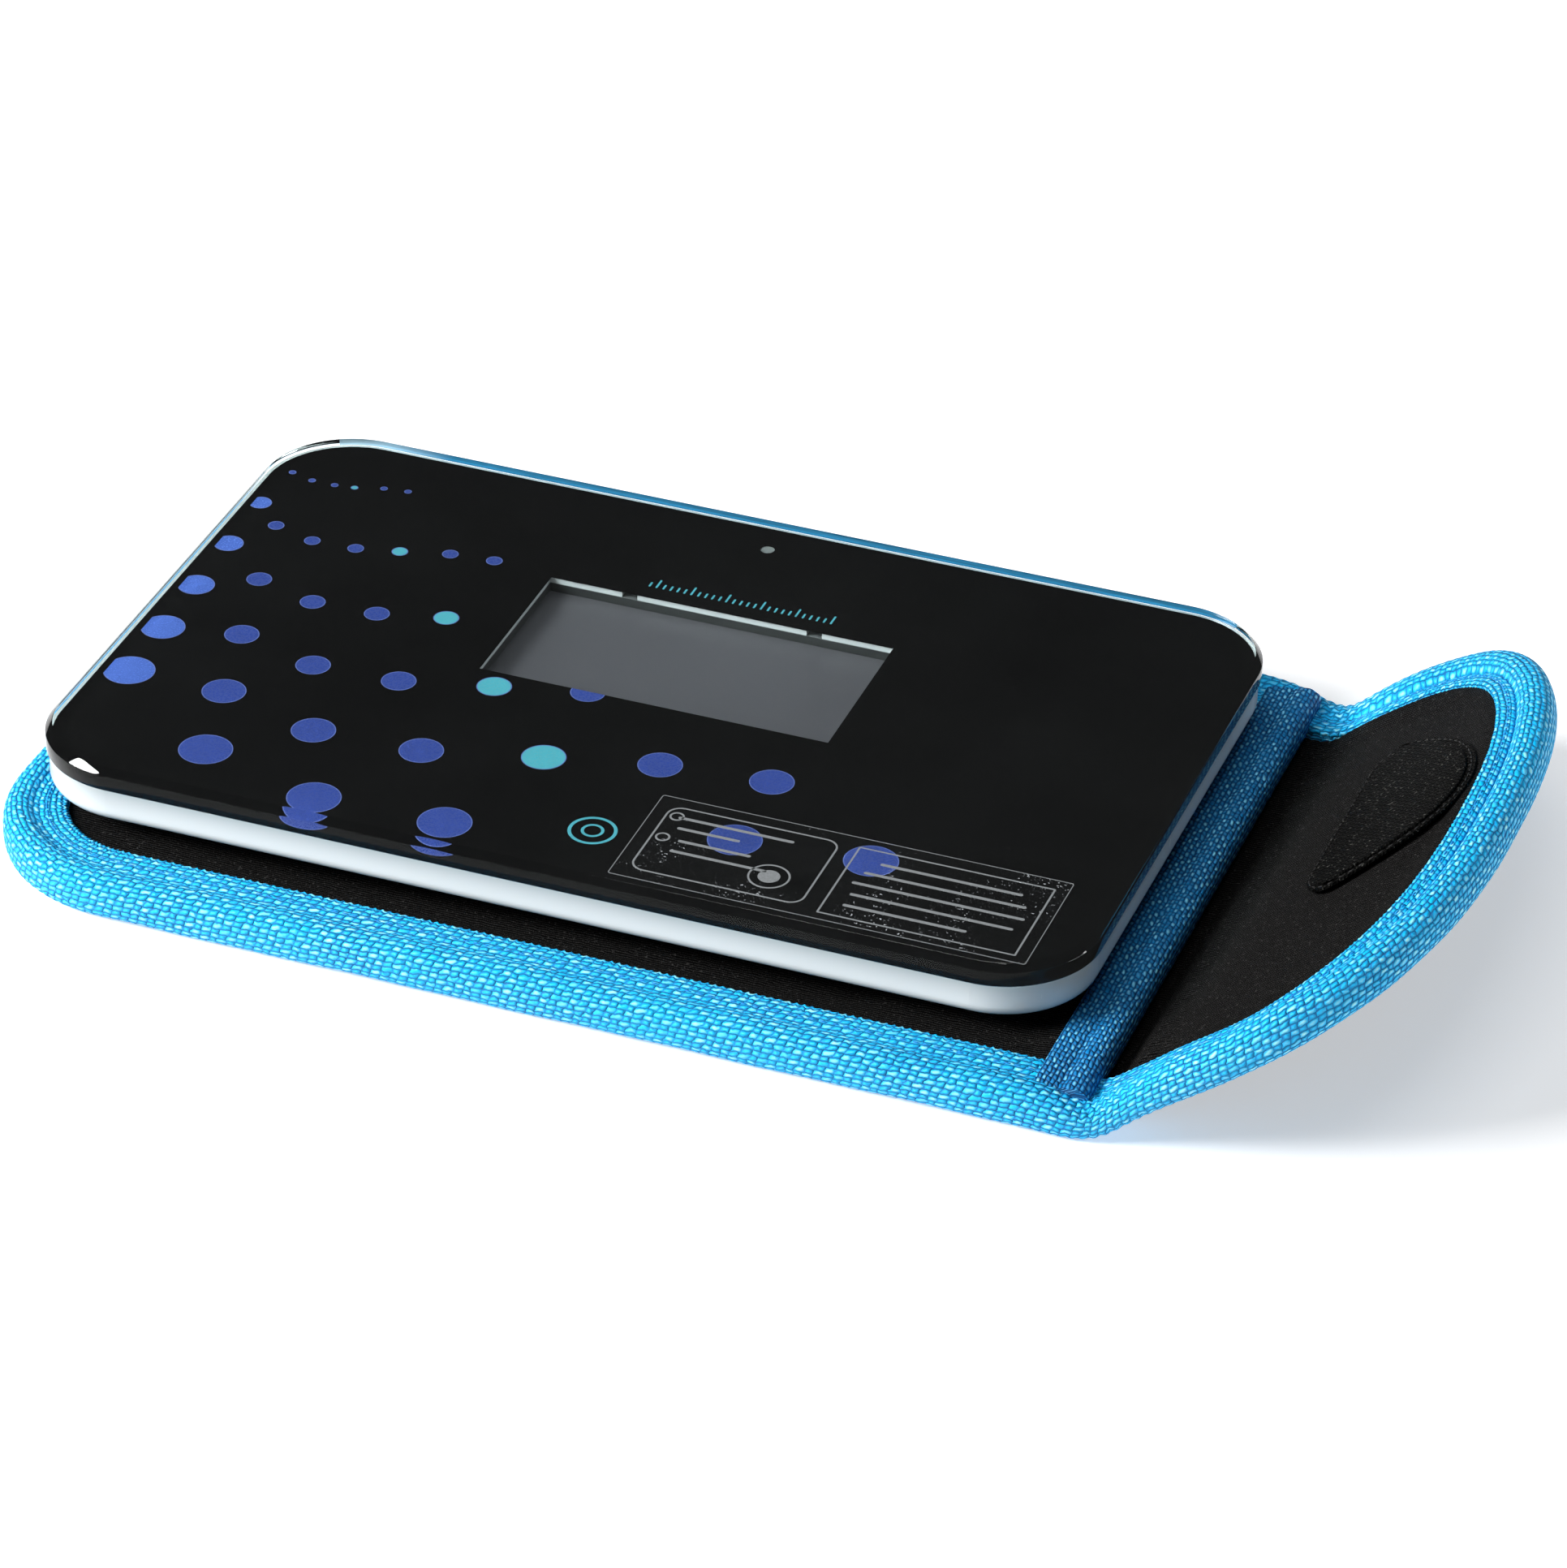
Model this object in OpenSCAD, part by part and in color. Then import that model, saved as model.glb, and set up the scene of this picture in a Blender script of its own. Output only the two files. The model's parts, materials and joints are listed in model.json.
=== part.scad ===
// Slim electronic travel scale with a glass platform, lying on its neoprene carrying sleeve.
// Origin: on the floor, under the centre of the platform. +X runs along the platform towards the
// sleeve's flap, +Z is up. Millimetres.

/* [Platform] */
// Length of the glass platform
platform_l = 220; // [200:1:280]
// Width of the glass platform
platform_w = 142; // [130:1:180]
// Radius of the platform's corners
platform_r = 20; // [14:1:30]
// Thickness of the tempered glass
glass_t = 5; // [4:0.5:8]
// Width of the ground bevel round the glass
glass_bevel = 1.4; // [0.6:0.1:1.8]
// Thickness of the black print under the glass
mask_t = 0.15; // [0.1:0.05:0.3]

/* [Housing] */
// Height of the plastic housing under the glass
housing_h = 7.35; // [7.2:0.05:10]
// How far the housing stands back from the glass edge
housing_inset = 0.6; // [0.4:0.1:2]
// Thickness of the housing's side wall
housing_wall = 2.2; // [1.6:0.1:3]
// Thickness of the housing's floor
floor_t = 1.5; // [1.5:0.1:2.5]
// Radius of the housing's lower edge
housing_edge_r = 2.5; // [1:0.1:3]
// Thickness of the tape that holds the glass
tape_t = 0.5; // [0.3:0.1:1]
// Width of the tape that holds the glass
tape_w = 3.2; // [2:0.1:6]

/* [Display] */
// Length of the display window
window_l = 75; // [60:1:90]
// Width of the display window
window_w = 38.8; // [28:0.2:44]
// Distance of the window's centre behind the platform's centre
window_y = 14.7; // [10:0.1:20]
// Depth of the display's face under the print
lcd_depth = 3.5; // [3:0.1:3.8]
// Thickness of the display
lcd_t = 1.6; // [1.2:0.1:1.8]
// Wall of the frame round the display
frame_wall = 2.4; // [1.6:0.1:4]

/* [Feet] */
// Distance from the platform's side to a foot's centre
foot_edge = 25; // [24:0.5:30]
// Diameter of a foot's rubber pad
pad_d = 20; // [14:0.5:22]
// Thickness of a foot's rubber pad
pad_t = 2; // [1:0.1:2.5]
// How far a foot stands below the housing
foot_drop = 3.4; // [3:0.1:6]
// Side of a load cell's square plate
cell_side = 30; // [28:0.5:32]
// Thickness of a load cell's plate
cell_t = 1.6; // [1:0.1:2]

/* [Battery] */
// Diameter of the coin cell
coin_d = 20; // [16:0.5:24]
// Thickness of the coin cell
coin_t = 3.2; // [1.6:0.1:3.2]
// Battery's middle, from the side of the display's frame
battery_x = 30.3; // [29.3:0.1:33.3]
// Distance of the battery from the platform's centre, crosswise
battery_y = -4; // [-8:1:2]
// Diameter of the battery cap's flange
cap_d = 25.6; // [25:0.2:28]

/* [Board] */
// Length of the circuit board
board_l = 60; // [50:1:70]
// Width of the circuit board
board_w = 27; // [24:1:30]
// Thickness of the circuit board
board_t = 1; // [0.8:0.1:1.2]
// Diameter of the unit button
button_d = 8; // [6:0.5:9]
// Travel of the unit button
button_travel = 0.4; // [0.2:0.05:0.5]

/* [Sleeve] */
// How much longer the pocket is than the platform
pocket_extra_l = 15; // [12:1:30]
// How much wider the pocket is than the platform
pocket_extra_w = 21; // [18:1:30]
// Radius of the pocket's closed corners
pocket_r = 32; // [20:1:45]
// Thickness of the neoprene
neoprene_t = 3.2; // [2:0.1:5]
// Space left between the pocket's two panels
pocket_gap = 1.6; // [0.5:0.1:4]
// Distance of the pocket's centre line in front of the platform's
sleeve_shift = 6.5; // [0:0.5:8]
// Distance of the pocket's middle to the right of the platform's
sleeve_slide = 1; // [0:0.5:3]
// Width of the edge binding, seen from above
binding_w = 13; // [10:0.5:18]
// Height of the edge binding round the pocket
binding_h = 9.6; // [9:0.1:12]
// Width of the binding along the mouth
mouth_w = 11.5; // [8:0.5:14]

/* [Flap] */
// Angle at which the flap leaves the mouth
flap_angle = 36; // [30:1:45]
// Straight part of the flap, from its fold
flap_straight = 40; // [30:1:50]
// Radius to which the rest of the flap curls back
flap_curl_r = 80; // [60:1:120]
// Angle through which it curls back
flap_curl = 20; // [10:1:24]
// Part of the flap's length, seen from above, over which its sides run straight
flap_side_share = 0.3; // [0.1:0.05:0.5]
// Height of the binding round the flap
flap_binding_h = 8.4; // [7:0.1:10]
// Length of the hook patch
patch_l = 60; // [40:1:66]
// Width of the hook patch
patch_w = 25; // [15:1:28]
// Thickness of the fastening patches
patch_t = 1.2; // [0.8:0.1:1.6]

/* [Hidden] */
$fn = 48;
eps = 0.01;
touch = 0.05;          // gap between pieces that bear on each other
loose = 0.2;           // gap round a piece that drops into its seat
sliding = 0.4;         // gap between bodies that move past each other
rest_gap = 0.1;        // gap between the feet and the sleeve
seam = 4;              // distance of a panel's edge from the outside of its binding
skin = 0.8;            // binding over and under the panels
far = 100;             // longer than any cut

// Heights
sleeve_top = 2 * neoprene_t + pocket_gap;
base_z = sleeve_top + rest_gap + foot_drop;
mask_z = base_z + housing_h;
glass_z = mask_z + mask_t;
top_z = glass_z + glass_t;
lcd_z = mask_z - lcd_depth;
board_z = base_z + 3.6;
cell_z = base_z + floor_t + 1.1;

// Housing
lip = 0.8;             // outer lip that hides the tape
ledge_t = 1.65;        // thickness of the ledge under the tape
tape_z = mask_z - tape_t;
boss_d = 5;
screw_d = 2;
screw_head_d = 3.8;
screw_head_h = 1;
pilot_gap = 0.1;       // clearance between a screw and its pilot hole
pilot_floor = 0.5;     // floor left under a pilot hole

// Display
lcd_l = window_l + 5.2;
lcd_w = window_w + 5.2;
frame_l = lcd_l + 2 * (frame_wall + loose);
frame_w = lcd_w + 2 * (frame_wall + loose);
sight = 0.4;           // how far the frame's opening stands back from the window
notch_w = 3.4;
notch_h = 1.5;
notch_x = window_l * 0.27;
ear = 6;
ear_t = 1.6;
ribbon_l = 40;
ribbon_t = 0.2;
ribbon_slot_z = min(lcd_z, board_z + board_t) - touch;  // the slot reaches down to the board's top

// Feet
foot_x = platform_l / 2 - foot_edge;
foot_y = platform_w / 2 - foot_edge;
FEET = [[1, 1], [-1, 1], [-1, -1], [1, -1]];
stem_d = 8;
cap_rim = 1;           // plastic cap beyond the pad
seat_w = 2;            // wall of the ring a load cell bears on
fence_w = 1.6;
tongue = cell_side * 0.4;
slit = 2;

// Battery
corridor = frame_l / 2 + ear + 5.6;  // where the back load cells' leads pass the display
battery_at = frame_l / 2 + battery_x;
cap_t = 0.8;
plug_d = cap_d - 3;
lug_t = 0.7;
lug_w = 6;
lug_out = 1.4;
coin_z = base_z + floor_t + lug_t + 4 * touch;
well_wall = 1.3;
leaf_t = 0.2;
leaf_w = 4;

// Board
board_y = window_y - frame_w / 2 - 1 - board_w / 2;
button_x = -16;
button_flange = 1.2;
button_recess = 0.3;
switch_side = 6;
switch_t = 1;
plunger_d = 3;

// Indicator
indicator_y = platform_w / 2 - 9.6;
indicator_d = 3;

// Sleeve
pocket_l = platform_l + pocket_extra_l;
pocket_w = platform_w + pocket_extra_w;
pocket_left = sleeve_slide - pocket_l / 2;
mouth_x = sleeve_slide + pocket_l / 2;
front_z = neoprene_t + pocket_gap;
roll_w = 7.2;          // round outer part of the pocket's binding
roll_r = 3.2;
flange_drop = 0.6;     // how far the binding's flat strip lies under the top of its roll
loop_l = patch_l - 8;
loop_y = 3;
hook_y = 8;
hook_x = 32;           // middle of the hook patch, seen from above, past the fold

// Flap
hinge_x = mouth_x + 3;
hinge_z = flap_binding_h / 2;
hinge_gap = 0.4;       // gap between the pocket and the flap's round fold
flap_half_w = pocket_w / 2 - 1.5;
flap_inner = binding_w - 1.5;
flap_reach = flap_straight * cos(flap_angle)
    + flap_curl_r * (sin(flap_angle) - sin(flap_angle - flap_curl));

// ---- shared shapes ----

// A rectangle with round corners, drawn in from the given size by inset.
module plate_2d(l, w, r, inset = 0) {
    rr = r - inset;
    square([l - 2 * r, w - 2 * inset], center = true);
    square([l - 2 * inset, w - 2 * r], center = true);
    for (sx = [-1, 1], sy = [-1, 1])
        translate([sx * (l / 2 - r), sy * (w / 2 - r)]) circle(r = rr);
}

// A straight prism of that rectangle.
module plate(l, w, r, inset, z, h) {
    translate([0, 0, z]) linear_extrude(h) plate_2d(l, w, r, inset);
}

// A section set off to both sides of the middle, with the space between filled up to height h.
module both_sides(half, h) {
    for (s = [0, 1])
        mirror([s, 0]) translate([half, 0]) children();
    translate([-half, 0]) square([2 * half, h]);
}

// A round-cornered block whose edge has the section given: x runs from 0 at a corner's axis outwards.
module edged_block(l, w, r, h) {
    for (k = [0:3])
        rotate([0, 0, 90 * k])
            translate([(k % 2 == 0 ? l : w) / 2 - r, (k % 2 == 0 ? w : l) / 2 - r, 0])
                rotate_extrude(angle = 90) children();
    rotate([90, 0, 90]) linear_extrude(l - 2 * r, center = true) both_sides(w / 2 - r, h) children();
    rotate([90, 0, 0]) linear_extrude(w - 2 * r, center = true) both_sides(l / 2 - r, h) children();
}

module platform_plate(inset, z, h) {
    plate(platform_l, platform_w, platform_r, inset, z, h);
}

module at_foot(i) {
    translate([FEET[i - 1][0] * foot_x, FEET[i - 1][1] * foot_y, 0]) children();
}

module ring(d_out, d_in, h) {
    difference() {
        cylinder(d = d_out, h = h);
        translate([0, 0, -eps]) cylinder(d = d_in, h = h + 2 * eps);
    }
}

// A pan-head screw: the head's seat is at z = 0 and the shank points down.
module screw(length) {
    cylinder(d = screw_head_d, h = screw_head_h);
    translate([0, 0, -length]) cylinder(d = screw_d - 2 * touch, h = length);
}

// Rings of a tube along a path, then the tube as one closed polyhedron.
function unit(v) = v / norm(v);
function heading(p, i) = unit(p[min(i + 1, len(p) - 1)] - p[max(i - 1, 0)]);
function ring_points(p, i, r, n) =
    let (t = heading(p, i),
         a = abs(t[2]) < 0.9 ? [0, 0, 1] : [1, 0, 0],
         u = unit(cross(a, t)),
         v = cross(t, u))
    [for (k = [0:n - 1]) p[i] + r * (cos(360 * k / n) * u + sin(360 * k / n) * v)];

module tube(path, r, n = 8) {
    m = len(path);
    points = [for (i = [0:m - 1], q = ring_points(path, i, r, n)) q];
    sides = [for (i = [0:m - 2], k = [0:n - 1])
        [i * n + k, i * n + (k + 1) % n, (i + 1) * n + (k + 1) % n, (i + 1) * n + k]];
    polyhedron(points, concat([[for (k = [n - 1:-1:0]) k]], sides,
                              [[for (k = [0:n - 1]) (m - 1) * n + k]]));
}

// A path moved sideways by d in plan, so that wires beside each other never cross.
function side(a, b) = let (v = unit([b[0] - a[0], b[1] - a[1]])) [-v[1], v[0]];
function miter(p, i) =
    let (m = side(p[max(i - 1, 0)], p[max(i, 1)]),
         n = side(p[min(i, len(p) - 2)], p[min(i + 1, len(p) - 1)]),
         q = (m + n) / (1 + m * n))
    [q[0], q[1], 0];
function beside(p, d) = [for (i = [0:len(p) - 1]) p[i] + d * miter(p, i)];

// The last stretch of every wire: in to the board's side s at y, then up onto its edge.
function onto_board(s, y, z) =
    let (top = board_z + board_t + 0.6)
    [[s * (board_l / 2 + 3.6), y, z], [s * (board_l / 2 + 1.4), y, top], [s * (board_l / 2 - 1.6), y, top]];

// ---- platform ----

module glass_platform() {
    low = glass_bevel / 3;
    r = platform_r;
    color([0.75, 0.85, 0.85, 0.4])
        translate([0, 0, glass_z])
            edged_block(platform_l, platform_w, r, glass_t)
                polygon([[0, 0], [r - low, 0], [r, low], [r, glass_t - glass_bevel],
                         [r - glass_bevel, glass_t], [0, glass_t]]);
}

module window_cut(grow, z, h) {
    translate([-window_l / 2 - grow, window_y - window_w / 2 - grow, z])
        cube([window_l + 2 * grow, window_w + 2 * grow, h]);
}

module print_mask() {
    color("black")
        difference() {
            platform_plate(glass_bevel, mask_z, mask_t);
            window_cut(0, mask_z - 1, far);
            translate([0, indicator_y, mask_z - 1]) cylinder(d = indicator_d, h = far);
        }
}

module mounting_tape() {
    color("gray")
        difference() {
            platform_plate(housing_inset + lip + touch, tape_z, tape_t);
            platform_plate(housing_inset + lip + tape_w, tape_z - 1, far);
        }
}

// ---- housing ----

// The housing's outer form, with its round lower edge.
module housing_form() {
    r = platform_r - housing_inset;
    e = housing_edge_r;
    translate([0, 0, base_z])
        edged_block(platform_l - 2 * housing_inset, platform_w - 2 * housing_inset, r, housing_h) {
            union() {
                square([r - e, housing_h]);
                translate([0, e]) square([r, housing_h - e]);
                translate([r - e, e]) circle(r = e);
            }
        }
}

module housing_cavity() {
    ledge_z = tape_z - ledge_t;
    platform_plate(housing_inset + housing_wall, base_z + floor_t, ledge_z - base_z - floor_t);
    platform_plate(housing_inset + lip + tape_w, base_z + floor_t, far);
    platform_plate(housing_inset + lip, tape_z, far);
}

module boss(x, y, h) {
    translate([x, y, base_z + floor_t - eps]) cylinder(d = boss_d, h = h + eps);
}

module pilot(x, y) {
    translate([x, y, base_z + pilot_floor]) cylinder(d = screw_d + 2 * pilot_gap, h = far);
}

// The seat ring and the square fence that hold one load cell.
module cell_seat() {
    fence = cell_side + 2 * loose;
    translate([0, 0, base_z + floor_t - eps]) {
        ring(pad_d + 2 * cap_rim + 2 * sliding + 2 * seat_w, pad_d + 2 * cap_rim + 2 * sliding,
             cell_z - base_z - floor_t + eps);
        linear_extrude(cell_z + cell_t / 2 - base_z - floor_t)
            difference() {
                square(fence + 2 * fence_w, center = true);
                square(fence, center = true);
                square([far, tongue], center = true);
            }
    }
}

// The well round the coin cell, with room for the cap's lugs at its foot.
module battery_well() {
    lug_room = cap_d + 2 * sliding;
    well_h = coin_z + coin_t - base_z - floor_t;
    translate([battery_at, battery_y, base_z + floor_t - eps])
        difference() {
            union() {
                cylinder(d = lug_room + 2 * well_wall, h = lug_t + 4 * touch + well_wall);
                cylinder(d = coin_d + 2 * loose + 2 * well_wall, h = well_h);
            }
            translate([0, 0, -1]) cylinder(d = lug_room, h = 1 + lug_t + 4 * touch);
            cylinder(d = coin_d + 2 * loose, h = far);
            translate([coin_d / 2 - 1, -leaf_w / 2 - loose, lug_t + 4 * touch])
                cube([well_wall + 4, leaf_w + 2 * loose, far]);
        }
}

module battery_opening() {
    translate([battery_at, battery_y, base_z]) {
        translate([0, 0, -1]) cylinder(d = cap_d + 2 * loose, h = 1 + cap_t + touch);
        translate([0, 0, -1]) cylinder(d = plug_d + 2 * sliding, h = 1 + floor_t + eps);
        translate([-(plug_d / 2 + lug_out + sliding), -lug_w / 2 - sliding, -1])
            cube([plug_d + 2 * (lug_out + sliding), lug_w + 2 * sliding, 1 + floor_t + eps]);
    }
}

function frame_ears() = [for (sx = [-1, 1], sy = [-1, 1])
    [sx * (frame_l / 2 + ear / 2 - 0.4), window_y + sy * (frame_w / 2 - ear / 2 - 1)]];
function board_holes() = [for (sx = [-1, 1], sy = [-1, 1])
    [sx * (board_l / 2 - 3.5), board_y + sy * (board_w / 2 - 3.5)]];

module base_housing() {
    color("white")
        difference() {
            union() {
                difference() {
                    housing_form();
                    housing_cavity();
                }
                for (p = frame_ears()) boss(p[0], p[1], 1);
                for (p = board_holes()) boss(p[0], p[1], board_z - base_z - floor_t);
                for (i = [1:4]) at_foot(i) cell_seat();
                battery_well();
                translate([0, indicator_y, base_z + floor_t - eps]) cylinder(d = indicator_d + 3, h = 2);
            }
            for (p = concat(frame_ears(), board_holes())) pilot(p[0], p[1]);
            for (i = [1:4])
                at_foot(i)
                    translate([0, 0, base_z - 1])
                        cylinder(d = pad_d + 2 * cap_rim + 2 * sliding, h = 1 + floor_t + eps);
            battery_opening();
            translate([button_x, board_y, base_z - 1]) cylinder(d = button_d + sliding, h = 1 + floor_t + eps);
            translate([0, indicator_y, base_z + floor_t + 0.6]) cylinder(d = indicator_d + loose, h = far);
        }
}

// ---- display ----

module display_frame() {
    color("whitesmoke")
        difference() {
            union() {
                translate([-frame_l / 2, window_y - frame_w / 2, base_z + floor_t + touch])
                    cube([frame_l, frame_w, mask_z - base_z - floor_t - 2 * touch]);
                for (p = frame_ears())
                    translate([p[0] - ear / 2 - 0.5, p[1] - ear / 2, base_z + floor_t + 1 + touch])
                        cube([ear + 1, ear, ear_t]);
            }
            translate([-lcd_l / 2 - loose, window_y - lcd_w / 2 - loose, base_z])
                cube([lcd_l + 2 * loose, lcd_w + 2 * loose, lcd_z + touch - base_z]);
            window_cut(sight, base_z, far);
            for (sx = [-1, 1])
                translate([sx * notch_x - notch_w / 2, window_y, mask_z - notch_h]) cube([notch_w, far, far]);
            translate([-ribbon_l / 2 - 1, window_y - frame_w / 2 - 1, ribbon_slot_z])
                cube([ribbon_l + 2, frame_wall + loose + 3, lcd_z + 1.4 - touch - ribbon_slot_z]);
            for (p = frame_ears())
                translate([p[0], p[1], base_z]) cylinder(d = screw_d + 2 * loose, h = far);
        }
}

module display_panel() {
    color([0.35, 0.36, 0.37])
        translate([-lcd_l / 2, window_y - lcd_w / 2, lcd_z - lcd_t]) cube([lcd_l, lcd_w, lcd_t]);
}

module display_pad() {
    pad_bottom = base_z + floor_t + touch;
    color("dimgray")
        translate([-lcd_l / 2 + 1, window_y - lcd_w / 2 + 1, pad_bottom])
            cube([lcd_l - 2, lcd_w - 2, lcd_z - lcd_t - touch - pad_bottom]);
}

// The flat cable from the display's front edge to the circuit board.
module display_ribbon() {
    lcd_edge = window_y - lcd_w / 2;
    board_edge = board_y + board_w / 2;
    board_top = board_z + board_t + touch;
    line = [[lcd_edge + 1.6, lcd_z + touch], [lcd_edge - 1, lcd_z + touch],
            [board_edge + 0.4, board_top], [board_edge - 3, board_top]];
    color("orange")
        translate([-ribbon_l / 2, 0, 0]) rotate([90, 0, 90]) linear_extrude(ribbon_l)
            polygon(concat(line, [for (k = [3:-1:0]) line[k] + [0, ribbon_t]]));
}

module frame_screws() {
    color("silver")
        for (p = frame_ears())
            translate([p[0], p[1], base_z + floor_t + 1 + ear_t + 2 * touch])
                screw(ear_t + 1 + floor_t - pilot_floor - 2 * touch);
}

// ---- circuit board ----

module circuit_board() {
    color("darkgreen")
        difference() {
            translate([-board_l / 2, board_y - board_w / 2, board_z + touch])
                cube([board_l, board_w, board_t - touch]);
            for (p = board_holes()) translate([p[0], p[1], base_z]) cylinder(d = screw_d + 2 * loose, h = far);
        }
}

module on_board(x, y) {
    translate([x, board_y + y, board_z + board_t + touch]) children();
}

module controller_chip() {
    color([0.08, 0.08, 0.08]) on_board(6, -3) cylinder(d1 = 12, d2 = 8, h = 1.2);
}

module board_capacitors() {
    color("tan")
        for (x = [-9, -5.5, 18, 21.5]) on_board(x, 5) translate([-0.6, -1, 0]) cube([1.2, 2, 0.9]);
}

module board_crystal() {
    color("silver") on_board(17, -5) translate([-3.2, -1.2, 0]) cube([6.4, 2.4, 1.6]);
}

module board_screws() {
    color("silver")
        for (p = board_holes())
            translate([p[0], p[1], board_z + board_t + touch])
                screw(board_z + board_t - base_z - pilot_floor - touch);
}

module unit_switch() {
    color("black")
        translate([button_x, board_y, board_z - switch_t])
            difference() {
                translate([-switch_side / 2, -switch_side / 2, 0]) cube([switch_side, switch_side, switch_t - touch]);
                translate([0, 0, -1]) cylinder(d = plunger_d + 2 * loose, h = switch_t + 1 - 0.1);
            }
}

module switch_plunger() {
    bottom = base_z + floor_t + 3 * touch + 0.4;
    color("ivory")
        translate([button_x, board_y, bottom])
            cylinder(d = plunger_d, h = board_z - 0.1 - button_travel - 2 * touch - bottom);
}

module unit_button() {
    flange_z = base_z + floor_t + touch;
    color("gray")
        translate([button_x, board_y, 0]) {
            translate([0, 0, base_z + button_recess])
                cylinder(d = button_d, h = flange_z - base_z - button_recess + eps);
            translate([0, 0, flange_z]) cylinder(d = button_d + 2 * button_flange, h = 0.4 + touch);
        }
}

module indicator_lamp() {
    foot = base_z + floor_t + 0.6 + touch;
    color([0.6, 0.62, 0.6])
        translate([0, indicator_y, foot]) cylinder(d = indicator_d, h = mask_z - touch - foot);
}

module indicator_leads() {
    z = base_z + floor_t + 0.6;
    x = -frame_l / 2 - ear - 1.8;
    path = concat([[-indicator_d / 2 - 2.4, indicator_y, z], [-frame_l / 2, indicator_y - 2, z],
                   [x, window_y + frame_w / 2, z], [x, board_y + 9, z]],
                  onto_board(-1, board_y + 6.2, z));
    color("red")
        for (s = [-1, 1]) tube(beside(path, s * 0.55), 0.4);
}

// ---- battery ----

module coin_cell() {
    rim = 0.8;
    color("silver")
        translate([battery_at, battery_y, coin_z])
            rotate_extrude()
                polygon([[0, 0], [coin_d / 2 - 0.3, 0], [coin_d / 2, 0.3], [coin_d / 2, coin_t - 0.7],
                         [coin_d / 2 - rim, coin_t - 0.4], [coin_d / 2 - rim, coin_t - 0.3],
                         [coin_d / 2 - 2 * rim, coin_t], [0, coin_t]]);
}

module negative_spring() {
    z = coin_z + coin_t + touch;
    reach = coin_d / 2 + 3;
    color("goldenrod")
        translate([battery_at, battery_y + leaf_w / 2, z]) rotate([90, 0, 0]) linear_extrude(leaf_w)
            polygon([[-reach, 0.1], [-4, 0.5], [0, 0], [2, 0.2], [2, 0.2 + leaf_t], [0, leaf_t],
                     [-4, 0.5 + leaf_t], [-reach, 0.1 + leaf_t]]);
}

module positive_leaf() {
    side = coin_d / 2 + touch;
    foot = coin_z + 4 * touch;
    color("goldenrod")
        translate([battery_at + side, battery_y - leaf_w / 2, foot]) {
            cube([leaf_t, leaf_w, coin_t]);
            cube([3.5, leaf_w, leaf_t]);
        }
}

module battery_leads() {
    z = base_z + floor_t + 0.8;
    left = battery_at - coin_d / 2 - 3.2;
    front = battery_y - cap_d / 2 - 3.4;
    plus = concat([[battery_at + coin_d / 2 + 2.4, battery_y, coin_z + 1.2],
                   [battery_at + cap_d / 2 + 3, battery_y - 3, z + 1.6],
                   [battery_at + cap_d / 2, front + 3, z], [battery_at, front, z]],
                  onto_board(1, board_y - 1.2, z));
    minus = concat([[left + 1.4, battery_y, coin_z + coin_t + 1.1],
                    [left - 1.6, battery_y, coin_z + coin_t + 0.6],
                    [left - 2.6, battery_y - 4, z], [left - 2.6, board_y + 5.4, z]],
                   onto_board(1, board_y + 1.2, z));
    color("red") tube(plus, 0.6);
    color("black") tube(minus, 0.6);
}

// The bayonet cap over the coin cell, with a slot for a coin in its outer face.
module battery_cap() {
    color("white")
        translate([battery_at, battery_y, base_z])
            difference() {
                union() {
                    cylinder(d = cap_d, h = cap_t);
                    cylinder(d = plug_d, h = floor_t + touch + lug_t);
                    rotate([0, 0, 60]) intersection() {
                        translate([-cap_d / 2, -lug_w / 2, floor_t + touch]) cube([cap_d, lug_w, lug_t]);
                        cylinder(d = plug_d + 2 * lug_out, h = far);
                    }
                }
                translate([-8, -1, -1]) cube([16, 2, 1 + 1.2]);
            }
}

module rating_label() {
    color("lightgray")
        translate([-30, 18, 0]) plate(56, 30, 2, 0, base_z - 0.1, 0.1);
}

// ---- feet ----

// A steel plate with a U-shaped slit that leaves a tongue in its middle.
module load_cell(i) {
    color("lightsteelblue")
        at_foot(i)
            translate([0, 0, cell_z]) linear_extrude(cell_t)
                difference() {
                    square(cell_side, center = true);
                    difference() {
                        square([tongue + 2 * slit, cell_side * 0.7], center = true);
                        square([tongue, cell_side * 0.7 - 2 * slit], center = true);
                        translate([-tongue / 2, -cell_side / 2]) square([tongue, cell_side / 2]);
                    }
                }
}

module strain_gauge(i) {
    color("orange")
        at_foot(i)
            translate([-3, -cell_side / 2 + 1.5, cell_z + cell_t + touch]) cube([6, 5, 0.3]);
}

module foot_cap(i) {
    bottom = base_z - foot_drop + pad_t;
    color("white")
        at_foot(i)
            translate([0, 0, bottom]) {
                cylinder(d = pad_d + 2 * cap_rim, h = base_z + floor_t - bottom);
                cylinder(d = stem_d, h = cell_z - touch - bottom);
            }
}

module foot_pad(i) {
    color([0.15, 0.15, 0.15])
        at_foot(i)
            translate([0, 0, base_z - foot_drop])
                rotate_extrude()
                    polygon([[0, 0], [pad_d / 2 - 0.5, 0], [pad_d / 2, 0.5], [pad_d / 2, pad_t - touch],
                             [0, pad_t - touch]]);
}

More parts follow.
